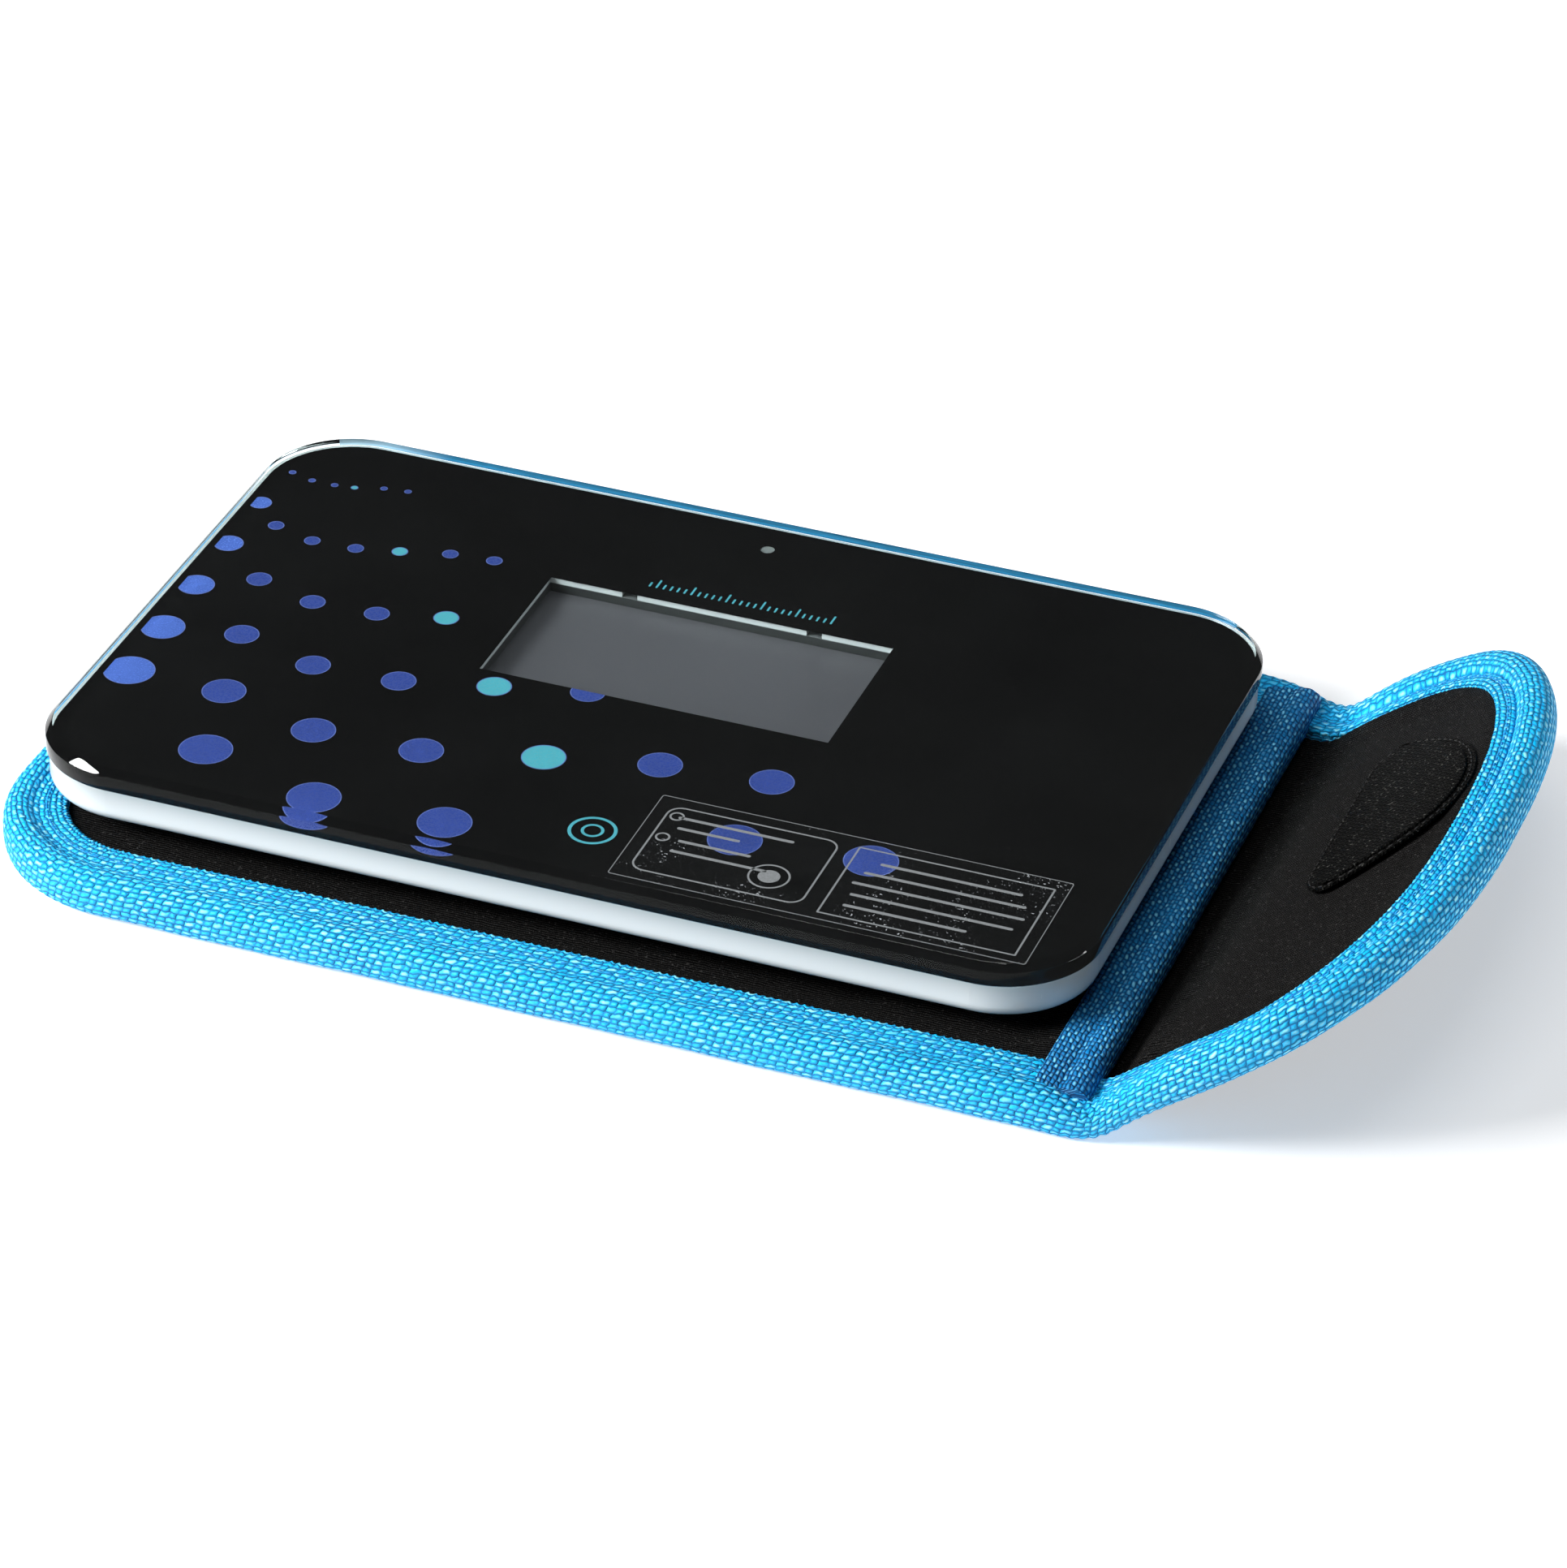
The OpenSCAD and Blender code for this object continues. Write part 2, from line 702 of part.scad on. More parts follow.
// Three thin wires from a load cell's gauge, over the fence and along the floor to the board.
module cell_leads(i) {
    sx = FEET[i - 1][0];
    back = FEET[i - 1][1] > 0;
    z = base_z + floor_t + 0.6;
    top = cell_z + cell_t + 0.7;
    y = FEET[i - 1][1] * foot_y - cell_side / 2 + 4;
    fence_x = foot_x - cell_side / 2 - fence_w;
    start = [[sx * (foot_x - 3.6), y, top], [sx * (fence_x - 1.5), y, top], [sx * (fence_x - 4), y, z]];
    turn = back ? [[sx * corridor, y, z], [sx * corridor, board_y + 6.5 + 2.5 * sx, z]]
                : [[sx * (corridor - 6), y, z]];
    path = concat(start, turn, onto_board(sx, board_y + (back ? 6 - 4 * (1 - sx) / 2 : -6), z));
    colours = ["red", "white", "black"];
    for (k = [0:2])
        color(colours[k]) tube(beside(path, (k - 1) * 1.1), 0.4);
}

// ---- sleeve ----

// The pocket's outline: round at its closed end, square at its mouth.
module pocket_2d(inset, mouth_inset = 0) {
    r = pocket_r - inset;
    right = mouth_x - mouth_inset;
    left = pocket_left + pocket_r;
    for (s = [-1, 1])
        translate([left, -sleeve_shift + s * (pocket_w / 2 - pocket_r)]) circle(r = r);
    translate([left, -sleeve_shift - pocket_w / 2 + inset]) square([right - left, pocket_w - 2 * inset]);
    translate([pocket_left + inset, -sleeve_shift - pocket_w / 2 + pocket_r])
        square([right - pocket_left - inset, pocket_w - 2 * pocket_r]);
}

// The back panel: its edge is squeezed up inside the binding, and a tongue of it reaches the flap's fold.
module sleeve_back_panel() {
    reach = hinge_x - neoprene_t / 2 - hinge_gap;
    half = flap_half_w - flap_inner - hinge_gap;
    clear = hinge_x - flap_binding_h / 2 - hinge_gap;
    color([0.08, 0.08, 0.08])
        union() {
            translate([0, 0, skin]) linear_extrude(neoprene_t - skin) pocket_2d(seam, mouth_x - clear);
            linear_extrude(neoprene_t) pocket_2d(binding_w + loose, mouth_x - clear);
            translate([0, -sleeve_shift - half, 0]) cube([reach, 2 * half, neoprene_t]);
        }
}

module sleeve_front_panel() {
    color([0.08, 0.08, 0.08])
        translate([0, 0, front_z]) linear_extrude(neoprene_t) pocket_2d(seam, seam);
}

// Section of an edge binding: a round roll outside, a flat strip inside, and a slot for the panels.
// x = 0 is the strip's inner edge and x = w the roll's outer side; the slot runs from low to high.
module binding_2d(w, h, low, high) {
    difference() {
        union() {
            square([w - roll_w / 2, h - flange_drop]);
            for (x = [w - roll_w + roll_r, w - roll_r], y = [roll_r, h - roll_r])
                translate([x, y]) circle(r = roll_r);
            translate([w - roll_w, roll_r]) square([roll_w, h - 2 * roll_r]);
            translate([w - roll_w + roll_r, 0]) square([roll_w - 2 * roll_r, h]);
        }
        translate([-1, low]) square([1 + w - seam, high - low]);
    }
}

module pocket_binding() {
    clear = hinge_x - flap_binding_h / 2 - hinge_gap;
    left = pocket_left + pocket_r;
    color([0, 0.65, 0.95])
        translate([0, -sleeve_shift, 0]) {
            for (s = [0, 1])
                mirror([0, s, 0]) {
                    translate([left, pocket_r - pocket_w / 2, 0])
                        rotate([0, 0, 180]) rotate_extrude(angle = 90)
                            translate([pocket_r - binding_w, 0])
                                binding_2d(binding_w, binding_h, skin, sleeve_top);
                    translate([left, binding_w - pocket_w / 2, 0])
                        rotate([90, 0, 90]) linear_extrude(clear - left)
                            mirror([1, 0]) binding_2d(binding_w, binding_h, skin, sleeve_top);
                }
            translate([pocket_left + binding_w, 0, 0])
                rotate([90, 0, 0]) linear_extrude(pocket_w - 2 * pocket_r, center = true)
                    mirror([1, 0]) binding_2d(binding_w, binding_h, skin, sleeve_top);
        }
}

module mouth_binding() {
    h = neoprene_t + 2 * skin;
    r = h / 2 - 0.6;
    length = pocket_w - 2 * binding_w - 2 * hinge_gap;
    color([0, 0.5, 0.75])
        translate([mouth_x - mouth_w, -sleeve_shift, front_z - skin])
            rotate([90, 0, 0]) linear_extrude(length, center = true)
                difference() {
                    union() {
                        square([mouth_w - r, h]);
                        translate([mouth_w - r, r]) square([r, h - 2 * r]);
                        for (y = [r, h - r]) translate([mouth_w - r, y]) circle(r = r);
                    }
                    translate([-1, skin]) square([1 + mouth_w - seam, neoprene_t]);
                }
}

// A fastening patch, straight on its inner side and bowed on its outer side.
module patch_2d(l, w) {
    bow = l * 0.55;
    translate([-w / 2, 0])
        intersection() {
            translate([0, -l / 2]) square([w, l]);
            translate([w - bow, 0]) circle(r = bow, $fn = 96);
        }
}

module sleeve_loop_patch() {
    color([0.05, 0.05, 0.05])
        translate([mouth_x - mouth_w - patch_w / 2 - 5, loop_y, sleeve_top + touch])
            linear_extrude(patch_t) patch_2d(loop_l, patch_w);
}

// ---- flap ----

// The flap's long section between two heights over its centre line: straight, then curling back.
module flap_section_2d(low, high) {
    wedge = 2 * flap_curl_r;
    translate([0, low]) square([flap_straight, high - low]);
    translate([flap_straight, -flap_curl_r])
        intersection() {
            difference() {
                circle(r = flap_curl_r + high, $fn = 180);
                circle(r = flap_curl_r + low, $fn = 180);
            }
            polygon([[0, 0], [0, wedge], [wedge * tan(flap_curl), wedge]]);
        }
}

// A section drawn along the flap, made as wide as the whole sleeve.
module along_flap() {
    translate([hinge_x, 0, hinge_z])
        rotate([90, 0, 0]) linear_extrude(2 * far, center = true) rotate(flap_angle) children();
}

// A slab of the flap with a round nose at its fold.
module flap_slab(half) {
    along_flap() {
        circle(r = half);
        flap_section_2d(-half, half);
    }
}

// The flap's outline seen from above: straight sides, then half an ellipse.
module flap_2d(inset, from_x) {
    straight = flap_side_share * flap_reach;
    a = flap_reach - straight - inset;
    b = flap_half_w - inset;
    translate([hinge_x, -sleeve_shift])
        polygon(concat([[from_x, -b]],
                       [for (k = [-18:18]) [straight + a * cos(5 * k), b * sin(5 * k)]],
                       [[from_x, b]]));
}

module flap_panel() {
    color([0.08, 0.08, 0.08])
        intersection() {
            flap_slab(neoprene_t / 2);
            linear_extrude(far) flap_2d(seam, -far);
        }
}

module flap_binding() {
    color([0, 0.65, 0.95])
        difference() {
            intersection() {
                flap_slab(flap_binding_h / 2);
                linear_extrude(far) flap_2d(0, -far);
            }
            translate([0, 0, -1]) linear_extrude(2 * far) flap_2d(flap_inner, -far);
            intersection() {
                flap_slab(neoprene_t / 2);
                linear_extrude(far) flap_2d(seam, -far);
            }
        }
}

module flap_hook_patch() {
    low = neoprene_t / 2 + touch;
    color([0.05, 0.05, 0.05])
        intersection() {
            along_flap() flap_section_2d(low, low + patch_t);
            translate([hinge_x + hook_x, hook_y, 0]) linear_extrude(far) patch_2d(patch_l, patch_w);
        }
}

// ---- nodes ----

glass_platform();
print_mask();
mounting_tape();
base_housing();
display_frame();
display_panel();
display_pad();
display_ribbon();
frame_screws();
circuit_board();
controller_chip();
board_capacitors();
board_crystal();
board_screws();
unit_switch();
switch_plunger();
unit_button();
indicator_lamp();
indicator_leads();
coin_cell();
negative_spring();
positive_leaf();
battery_leads();
battery_cap();
rating_label();
for (i = [1:4]) {
    load_cell(i);
    strain_gauge(i);
    foot_cap(i);
    foot_pad(i);
    cell_leads(i);
}
sleeve_back_panel();
sleeve_front_panel();
pocket_binding();
mouth_binding();
sleeve_loop_patch();
flap_panel();
flap_binding();
flap_hook_patch();
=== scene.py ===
"""Looks of a glass travel scale that lies on its neoprene sleeve, in metres, in the CAD frame."""

import json
import logging
import math
from collections.abc import Callable, Iterable, Sequence
from dataclasses import dataclass, field
from enum import Enum

import bmesh
import bpy
import numpy as np
from mathutils import Matrix, Vector


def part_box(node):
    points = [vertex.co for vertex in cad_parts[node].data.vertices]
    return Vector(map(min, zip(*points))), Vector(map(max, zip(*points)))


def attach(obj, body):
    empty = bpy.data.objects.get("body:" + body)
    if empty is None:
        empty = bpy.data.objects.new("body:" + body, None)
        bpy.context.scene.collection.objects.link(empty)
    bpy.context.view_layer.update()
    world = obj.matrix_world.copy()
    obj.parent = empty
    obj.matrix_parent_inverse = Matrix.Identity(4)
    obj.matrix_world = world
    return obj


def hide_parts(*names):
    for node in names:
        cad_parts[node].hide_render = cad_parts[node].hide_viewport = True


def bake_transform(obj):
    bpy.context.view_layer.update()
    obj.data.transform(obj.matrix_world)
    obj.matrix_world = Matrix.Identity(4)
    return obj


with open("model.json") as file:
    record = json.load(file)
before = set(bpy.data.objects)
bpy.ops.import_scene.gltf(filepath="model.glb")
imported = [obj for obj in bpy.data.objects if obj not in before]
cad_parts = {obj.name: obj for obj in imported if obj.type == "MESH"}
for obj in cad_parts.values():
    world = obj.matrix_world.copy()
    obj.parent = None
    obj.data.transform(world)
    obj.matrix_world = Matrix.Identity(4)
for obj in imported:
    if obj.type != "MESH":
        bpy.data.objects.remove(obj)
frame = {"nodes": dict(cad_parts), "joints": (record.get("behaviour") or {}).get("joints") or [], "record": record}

LOG = logging.getLogger("scale_looks")
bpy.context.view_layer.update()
MM = 0.001
UP = Vector((0.0, 0.0, 1.0))
TABLE_GAP = 0.1 * MM
LOWEST_MIDDLE = TABLE_GAP + 1.7 * MM  # middle of a neoprene sheet that lies on the table

Colour = tuple[float, float, float, float]
Plan = tuple[float, float]
Value = bpy.types.NodeSocket | float | Sequence[float]


class Body(str, Enum):
    """The CAD bodies that pieces ride on."""

    SLEEVE = "sleeve"
    SCALE = "scale"
    FLAP = "flap"


def srgb(red: int, green: int, blue: int) -> Colour:
    """Turn a display colour into a linear one.

    Args:
        red: Red from 0 to 255.
        green: Green from 0 to 255.
        blue: Blue from 0 to 255.

    Returns:
        The linear colour with full alpha.
    """
    linear = [
        c / 12.92 if c <= 0.04045 else ((c + 0.055) / 1.055) ** 2.4
        for c in (red / 255, green / 255, blue / 255)
    ]
    return (linear[0], linear[1], linear[2], 1.0)


# ---------------------------------------------------------------------------
# Node trees
# ---------------------------------------------------------------------------


class Graph:
    """Adds nodes to one node tree and links them."""

    def __init__(self, tree: bpy.types.NodeTree) -> None:
        """Keep the tree that the nodes go into."""
        self.tree = tree

    def put(self, socket: bpy.types.NodeSocket, value: Value) -> None:
        """Link a socket to another one, or give it a plain value.

        Args:
            socket: The input that is set.
            value: An output socket, a number or a row of numbers.
        """
        if isinstance(value, bpy.types.NodeSocket):
            self.tree.links.new(value, socket)
        else:
            socket.default_value = value

    def node(
        self, kind: str, inputs: dict[str | int, Value] | None = None, **settings: object
    ) -> bpy.types.Node:
        """Add a node.

        Args:
            kind: The node's type without its ShaderNode prefix.
            inputs: Values or sockets by input name or number.
            settings: Attributes of the node itself.

        Returns:
            The new node.
        """
        made = self.tree.nodes.new("ShaderNode" + kind)
        for name, setting in settings.items():
            setattr(made, name, setting)
        for name, value in (inputs or {}).items():
            self.put(made.inputs[name], value)
        return made

    def math(self, operation: str, *values: Value) -> bpy.types.NodeSocket:
        """Add a math node and return its result."""
        return self.node("Math", dict(enumerate(values)), operation=operation).outputs[0]

    def mix(self, share: Value, first: Value, second: Value) -> bpy.types.NodeSocket:
        """Mix two colours by a share from 0 to 1."""
        return self.node("Mix", {0: share, 6: first, 7: second}, data_type="RGBA").outputs[2]

    def remap(
        self, value: Value, low: float, high: float, start: float = 0.0, end: float = 1.0
    ) -> bpy.types.NodeSocket:
        """Stretch a value from the range low to high onto start to end, clamped."""
        return self.node("MapRange", {0: value, 1: low, 2: high, 3: start, 4: end}).outputs[0]

    def noise(
        self, where: Value, scale: Value, detail: float = 2.0, rough: float = 0.5
    ) -> bpy.types.NodeSocket:
        """Add a noise texture and return its value."""
        inputs = {"Vector": where, "Scale": scale, "Detail": detail, "Roughness": rough}
        return self.node("TexNoise", inputs).outputs[0]

    def bump(self, height: Value, depth: float, strength: float = 1.0) -> bpy.types.NodeSocket:
        """Turn a height of 0 to 1 into a normal, with depth in metres."""
        return self.node("Bump", {"Height": height, "Distance": depth, "Strength": strength}).outputs[0]

    def object_place(self) -> bpy.types.NodeSocket:
        """Return the piece's own coordinates, in metres."""
        return self.node("TexCoord").outputs["Object"]

    def group(self, group: bpy.types.NodeTree, inputs: dict[str, Value]) -> bpy.types.Node:
        """Place a shared node group.

        Args:
            group: The group's tree.
            inputs: Values or sockets by the group's input names.

        Returns:
            The group node.
        """
        made = self.tree.nodes.new("ShaderNodeGroup")
        made.node_tree = group
        for name, value in inputs.items():
            self.put(made.inputs[name], value)
        return made


def new_group(
    name: str, inputs: dict[str, tuple[str, Value]], outputs: dict[str, str]
) -> tuple[Graph, bpy.types.Node, bpy.types.Node]:
    """Start a shared node group.

    Args:
        name: The group's name.
        inputs: Socket kind and default value by input name.
        outputs: Socket kind by output name.

    Returns:
        The group's graph, its input node and its output node.
    """
    tree = bpy.data.node_groups.new(name, "ShaderNodeTree")
    for label, (kind, default) in inputs.items():
        socket = tree.interface.new_socket(label, in_out="INPUT", socket_type="NodeSocket" + kind)
        if kind != "Vector":
            socket.default_value = default
    for label, kind in outputs.items():
        tree.interface.new_socket(label, in_out="OUTPUT", socket_type="NodeSocket" + kind)
    graph = Graph(tree)
    return graph, tree.nodes.new("NodeGroupInput"), tree.nodes.new("NodeGroupOutput")


def make_weave_group() -> bpy.types.NodeTree:
    """Build the over-and-under weave that the binding and the mouth tape share.

    Returns:
        A group that turns places along and across a tape into a yarn height and a mask of lit crowns for painted
        highlights.
    """
    graph, given, out = new_group(
        "weave",
        {
            "Along": ("Float", 0.0),
            "Across": ("Float", 0.0),
            "Pitch": ("Float", 0.0015),
            "Slack": ("Float", 0.25),
            "Slant": ("Float", 0.3),
        },
        {"Height": "Float", "CrownHighlight": "Float"},
    )
    wander = graph.node("CombineXYZ", {0: given.outputs["Along"], 1: given.outputs["Across"]}).outputs[0]
    drift = graph.math("SUBTRACT", graph.noise(wander, 420.0), 0.5)
    stray = graph.math("MULTIPLY", drift, given.outputs["Slack"])
    lean = (given.outputs["Across"], given.outputs["Slant"], given.outputs["Along"])
    slanted = graph.math("MULTIPLY_ADD", *lean)
    u = graph.math("ADD", graph.math("DIVIDE", slanted, given.outputs["Pitch"]), stray)
    fine = graph.math("MULTIPLY", given.outputs["Pitch"], 0.62)
    v = graph.math("SUBTRACT", graph.math("DIVIDE", given.outputs["Across"], fine), stray)
    cell = graph.math("ADD", graph.math("FLOOR", u), graph.math("FLOOR", v))
    over = graph.math("MULTIPLY", graph.math("FRACT", graph.math("MULTIPLY", cell, 0.5)), 2.0)

    def dome(place: Value) -> bpy.types.NodeSocket:
        """Return a hump that is 1 in the middle of each cell and 0 at its sides."""
        middle = graph.math("SUBTRACT", graph.math("MULTIPLY", graph.math("FRACT", place), 2.0), 1.0)
        return graph.math("SUBTRACT", 1.0, graph.math("MULTIPLY", middle, middle))

    du, dv = dome(u), dome(v)
    lengthwise = graph.math("MULTIPLY", graph.math("SQRT", dv), graph.math("MULTIPLY_ADD", du, 0.35, 0.65))
    under = graph.math("MULTIPLY_ADD", dv, 0.6, 0.15)
    crosswise = graph.math("MULTIPLY", graph.math("POWER", du, 0.8), under)
    share = graph.math("SUBTRACT", 1.0, over)
    height = graph.math(
        "ADD", graph.math("MULTIPLY", lengthwise, over), graph.math("MULTIPLY", crosswise, share)
    )
    graph.put(out.inputs["Height"], height)
    yarn = graph.node("CombineXYZ", {0: graph.math("FLOOR", u), 1: graph.math("FLOOR", v)}).outputs[0]
    # Painted glints: only some yarns' crowns get the highlight mask.
    glint = graph.remap(graph.noise(yarn, 3.7), 0.35, 0.62)
    graph.put(out.inputs["CrownHighlight"], graph.math("MULTIPLY", graph.remap(height, 0.7, 1.0), glint))
    return graph.tree


def make_knit_group() -> bpy.types.NodeTree:
    """Build the fine knit that the neoprene's face and the patches' pile share.

    Returns:
        A group that turns a place into a loop height and a mask of light flecks.
    """
    graph, given, out = new_group(
        "knit",
        {"Vector": ("Vector", 0.0), "Pitch": ("Float", 0.0008), "Flecks": ("Float", 0.5)},
        {"Height": "Float", "Fleck": "Float"},
    )
    where = given.outputs["Vector"]
    parts = graph.node("SeparateXYZ", {0: where})
    turn = graph.math("DIVIDE", 2.0 * math.pi, given.outputs["Pitch"])
    uneven = graph.math("SUBTRACT", graph.noise(where, 420.0, 2.0), 0.5)
    across = graph.math("MULTIPLY_ADD", uneven, 0.0011, parts.outputs[0])
    along = graph.math("MULTIPLY_ADD", uneven, -0.0009, parts.outputs[1])
    wale = graph.math("SINE", graph.math("MULTIPLY", across, turn))
    lean = graph.math("MULTIPLY_ADD", wale, 0.0002, along)
    course = graph.math("SINE", graph.math("MULTIPLY", lean, turn))
    loops = graph.math("MULTIPLY_ADD", graph.math("MULTIPLY", wale, course), 0.5, 0.5)
    fuzz = graph.noise(where, 2600.0, 3.0, 0.7)
    height = graph.math("MULTIPLY_ADD", fuzz, 0.5, graph.math("MULTIPLY", loops, 0.5))
    graph.put(out.inputs["Height"], height)
    specks = graph.remap(graph.noise(where, 1500.0, 1.0), 0.66, 0.74)
    graph.put(out.inputs["Fleck"], graph.math("MULTIPLY", specks, given.outputs["Flecks"]))
    return graph.tree


def make_grain_group() -> bpy.types.NodeTree:
    """Build the moulded grain and the handling marks that hard pieces share.

    Returns:
        A group that turns a place into a grain height, a blotch mask and a mark mask.
    """
    graph, given, out = new_group(
        "grain",
        {"Vector": ("Vector", 0.0), "Scale": ("Float", 900.0)},
        {"Height": "Float", "Blotch": "Float", "Marks": "Float"},
    )
    where = given.outputs["Vector"]
    graph.put(out.inputs["Height"], graph.noise(where, given.outputs["Scale"], 3.0, 0.6))
    graph.put(out.inputs["Blotch"], graph.noise(where, 22.0, 3.0))
    slanting = {"Vector": where, "Rotation": (0.0, 0.0, 0.6), "Scale": (60.0, 900.0, 60.0)}
    streaks = graph.noise(graph.node("Mapping", slanting).outputs[0], 1.0, 2.0)
    graph.put(out.inputs["Marks"], graph.remap(streaks, 0.62, 0.75))
    return graph.tree


@dataclass
class Groups:
    """The shared node groups, built once."""

    weave: bpy.types.NodeTree = field(default_factory=make_weave_group)
    knit: bpy.types.NodeTree = field(default_factory=make_knit_group)
    grain: bpy.types.NodeTree = field(default_factory=make_grain_group)


GROUPS = Groups()


# ---------------------------------------------------------------------------
# Finishes
# ---------------------------------------------------------------------------


@dataclass(frozen=True)
class Finish:
    """A material by name; each kind of finish says how its nodes are made."""

    name: str

    def material(self) -> bpy.types.Material:
        """Find the material, or make it on first use.

        Returns:
            The material.
        """
        known = bpy.data.materials.get(self.name + "_finish")
        if known:
            return known
        made = bpy.data.materials.new(self.name + "_finish")
        made.use_nodes = True
        made.node_tree.nodes.clear()
        graph = Graph(made.node_tree)
        surface = self.surface(graph)
        graph.node("OutputMaterial", {"Surface": surface})
        return made

    def surface(self, graph: Graph) -> bpy.types.NodeSocket:
        """Make the nodes and return the shader's output; each kind of finish has its own."""
        raise NotImplementedError


@dataclass(frozen=True)
class MouldedFinish(Finish):
    """Moulded plastic, rubber or lacquer with a fine grain and faint handling marks."""

    colour: Colour
    roughness: float = 0.35
    grain: float = 900.0
    depth: float = 0.00002
    gloss: float = 0.5
    coat: float = 0.0
    glow: float = 0.0

    def surface(self, graph: Graph) -> bpy.types.NodeSocket:
        """Make the nodes.

        Args:
            graph: The material's node tree.

        Returns:
            The shader's output.
        """
        grain = graph.group(GROUPS.grain, {"Vector": graph.object_place(), "Scale": self.grain})
        lighter = tuple(min(1.0, c * 1.12 + 0.004) for c in self.colour[:3]) + (1.0,)
        tone = graph.mix(grain.outputs["Blotch"], self.colour, lighter)
        blotchy = graph.remap(
            grain.outputs["Blotch"], 0.3, 0.7, self.roughness * 0.92, self.roughness * 1.08
        )
        rough = graph.math("MULTIPLY_ADD", grain.outputs["Marks"], 0.08, blotchy)
        inputs = {
            "Base Color": tone,
            "Roughness": rough,
            "Specular IOR Level": self.gloss,
            "Coat Weight": self.coat,
            "Coat Roughness": 0.06,
            "Subsurface Weight": self.glow,
            "Subsurface Radius": (0.004, 0.004, 0.005),
            "Normal": graph.bump(grain.outputs["Height"], self.depth),
        }
        return graph.node("BsdfPrincipled", inputs).outputs[0]


@dataclass(frozen=True)
class FrameFinish(MouldedFinish):
    """The display frame's plastic, pale along its top where the light reaches it."""

    pale: Colour = (0.36, 0.37, 0.37, 1.0)
    lit_depth: float = 1.5 * MM

    def surface(self, graph: Graph) -> bpy.types.NodeSocket:
        """Make the nodes.

        Args:
            graph: The material's node tree.

        Returns:
            The shader's output.
        """
        made = super().surface(graph)
        height = graph.node("SeparateXYZ", {0: graph.object_place()}).outputs[2]
        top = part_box("display_frame")[1].z
        lit = graph.remap(height, top - self.lit_depth, top - self.lit_depth + 0.2 * MM)
        tone = graph.mix(lit, self.colour, self.pale)
        graph.put(made.node.inputs["Base Color"], tone)
        return made


@dataclass(frozen=True)
class ShellFinish(MouldedFinish):
    """The housing's glossy plastic, with painted shade: a little greyer towards the top, under the overhang of the
    glass.
    """

    shade: Colour = (0.36, 0.385, 0.38, 1.0)
    shade_start: float = 0.3
    shade_curve: float = 1.6

    def surface(self, graph: Graph) -> bpy.types.NodeSocket:
        """Make the nodes.

        Args:
            graph: The material's node tree.

        Returns:
            The shader's output.
        """
        made = super().surface(graph)
        height = graph.node("SeparateXYZ", {0: graph.object_place()}).outputs[2]
        low, high = (corner.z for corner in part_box("base_housing"))
        # Painted shade: the top of the housing is mixed towards the grey shade colour.
        share = graph.remap(height, low + self.shade_start * (high - low), high)
        tone = graph.mix(graph.math("POWER", share, self.shade_curve), self.colour, self.shade)
        graph.put(made.node.inputs["Base Color"], tone)
        return made


@dataclass(frozen=True)
class MetalFinish(Finish):
    """Metal with a brushed or rolled surface."""

    colour: Colour
    roughness: float = 0.3
    brush: tuple[float, float, float] = (60.0, 2400.0, 60.0)

    def surface(self, graph: Graph) -> bpy.types.NodeSocket:
        """Make the nodes.

        Args:
            graph: The material's node tree.

        Returns:
            The shader's output.
        """
        where = graph.object_place()
        lines = graph.node("Mapping", {"Vector": where, "Scale": self.brush}).outputs[0]
        streaks = graph.noise(lines, 1.0, 3.0)
        darker = tuple(c * 0.8 for c in self.colour[:3]) + (1.0,)
        inputs = {
            "Base Color": graph.mix(graph.remap(streaks, 0.3, 0.7), self.colour, darker),
            "Metallic": 1.0,
            "Roughness": graph.remap(streaks, 0.3, 0.7, self.roughness * 0.8, self.roughness * 1.25),
            "Normal": graph.bump(streaks, 0.00001),
        }
        return graph.node("BsdfPrincipled", inputs).outputs[0]


@dataclass(frozen=True)
class ClearFinish(Finish):
    """Clear glass or film, which lets shadow rays through to light what lies behind it."""

    tint: Colour
    ior: float = 1.5
    roughness: float = 0.0
    veil: float = 0.0
    veil_colour: Colour = (0.8, 0.85, 0.9, 1.0)
    sheen: float = 1.0

    def surface(self, graph: Graph) -> bpy.types.NodeSocket:
        """Make the nodes.

        Args:
            graph: The material's node tree.

        Returns:
            The shader's output.
        """
        where = graph.object_place()
        touch = graph.noise(where, 35.0, 4.0)
        smear = graph.remap(touch, 0.45, 0.8, self.roughness, self.roughness + 0.015)
        glass = graph.node(
            "BsdfPrincipled",
            {
                "Base Color": self.tint,
                "Roughness": smear,
                "IOR": self.ior,
                "Transmission Weight": 1.0,
                "Specular Tint": (self.sheen, self.sheen, self.sheen, 1.0),
            },
        ).outputs[0]
        if self.veil:
            milk = {"Base Color": self.veil_colour, "Roughness": 0.3}
            milky = graph.node("BsdfPrincipled", milk).outputs[0]
            patches = graph.remap(graph.noise(where, 70.0, 2.0), 0.52, 0.66)
            specks = graph.remap(graph.noise(where, 1900.0, 2.0), 0.67, 0.71, 0.0, self.veil)
            share = graph.math("MULTIPLY", patches, specks)
            glass = graph.node("MixShader", {0: share, 1: glass, 2: milky}).outputs[0]
        shadow = graph.node("LightPath").outputs["Is Shadow Ray"]
        clear = graph.node("BsdfTransparent", {"Color": self.tint}).outputs[0]
        return graph.node("MixShader", {0: shadow, 1: glass, 2: clear}).outputs[0]


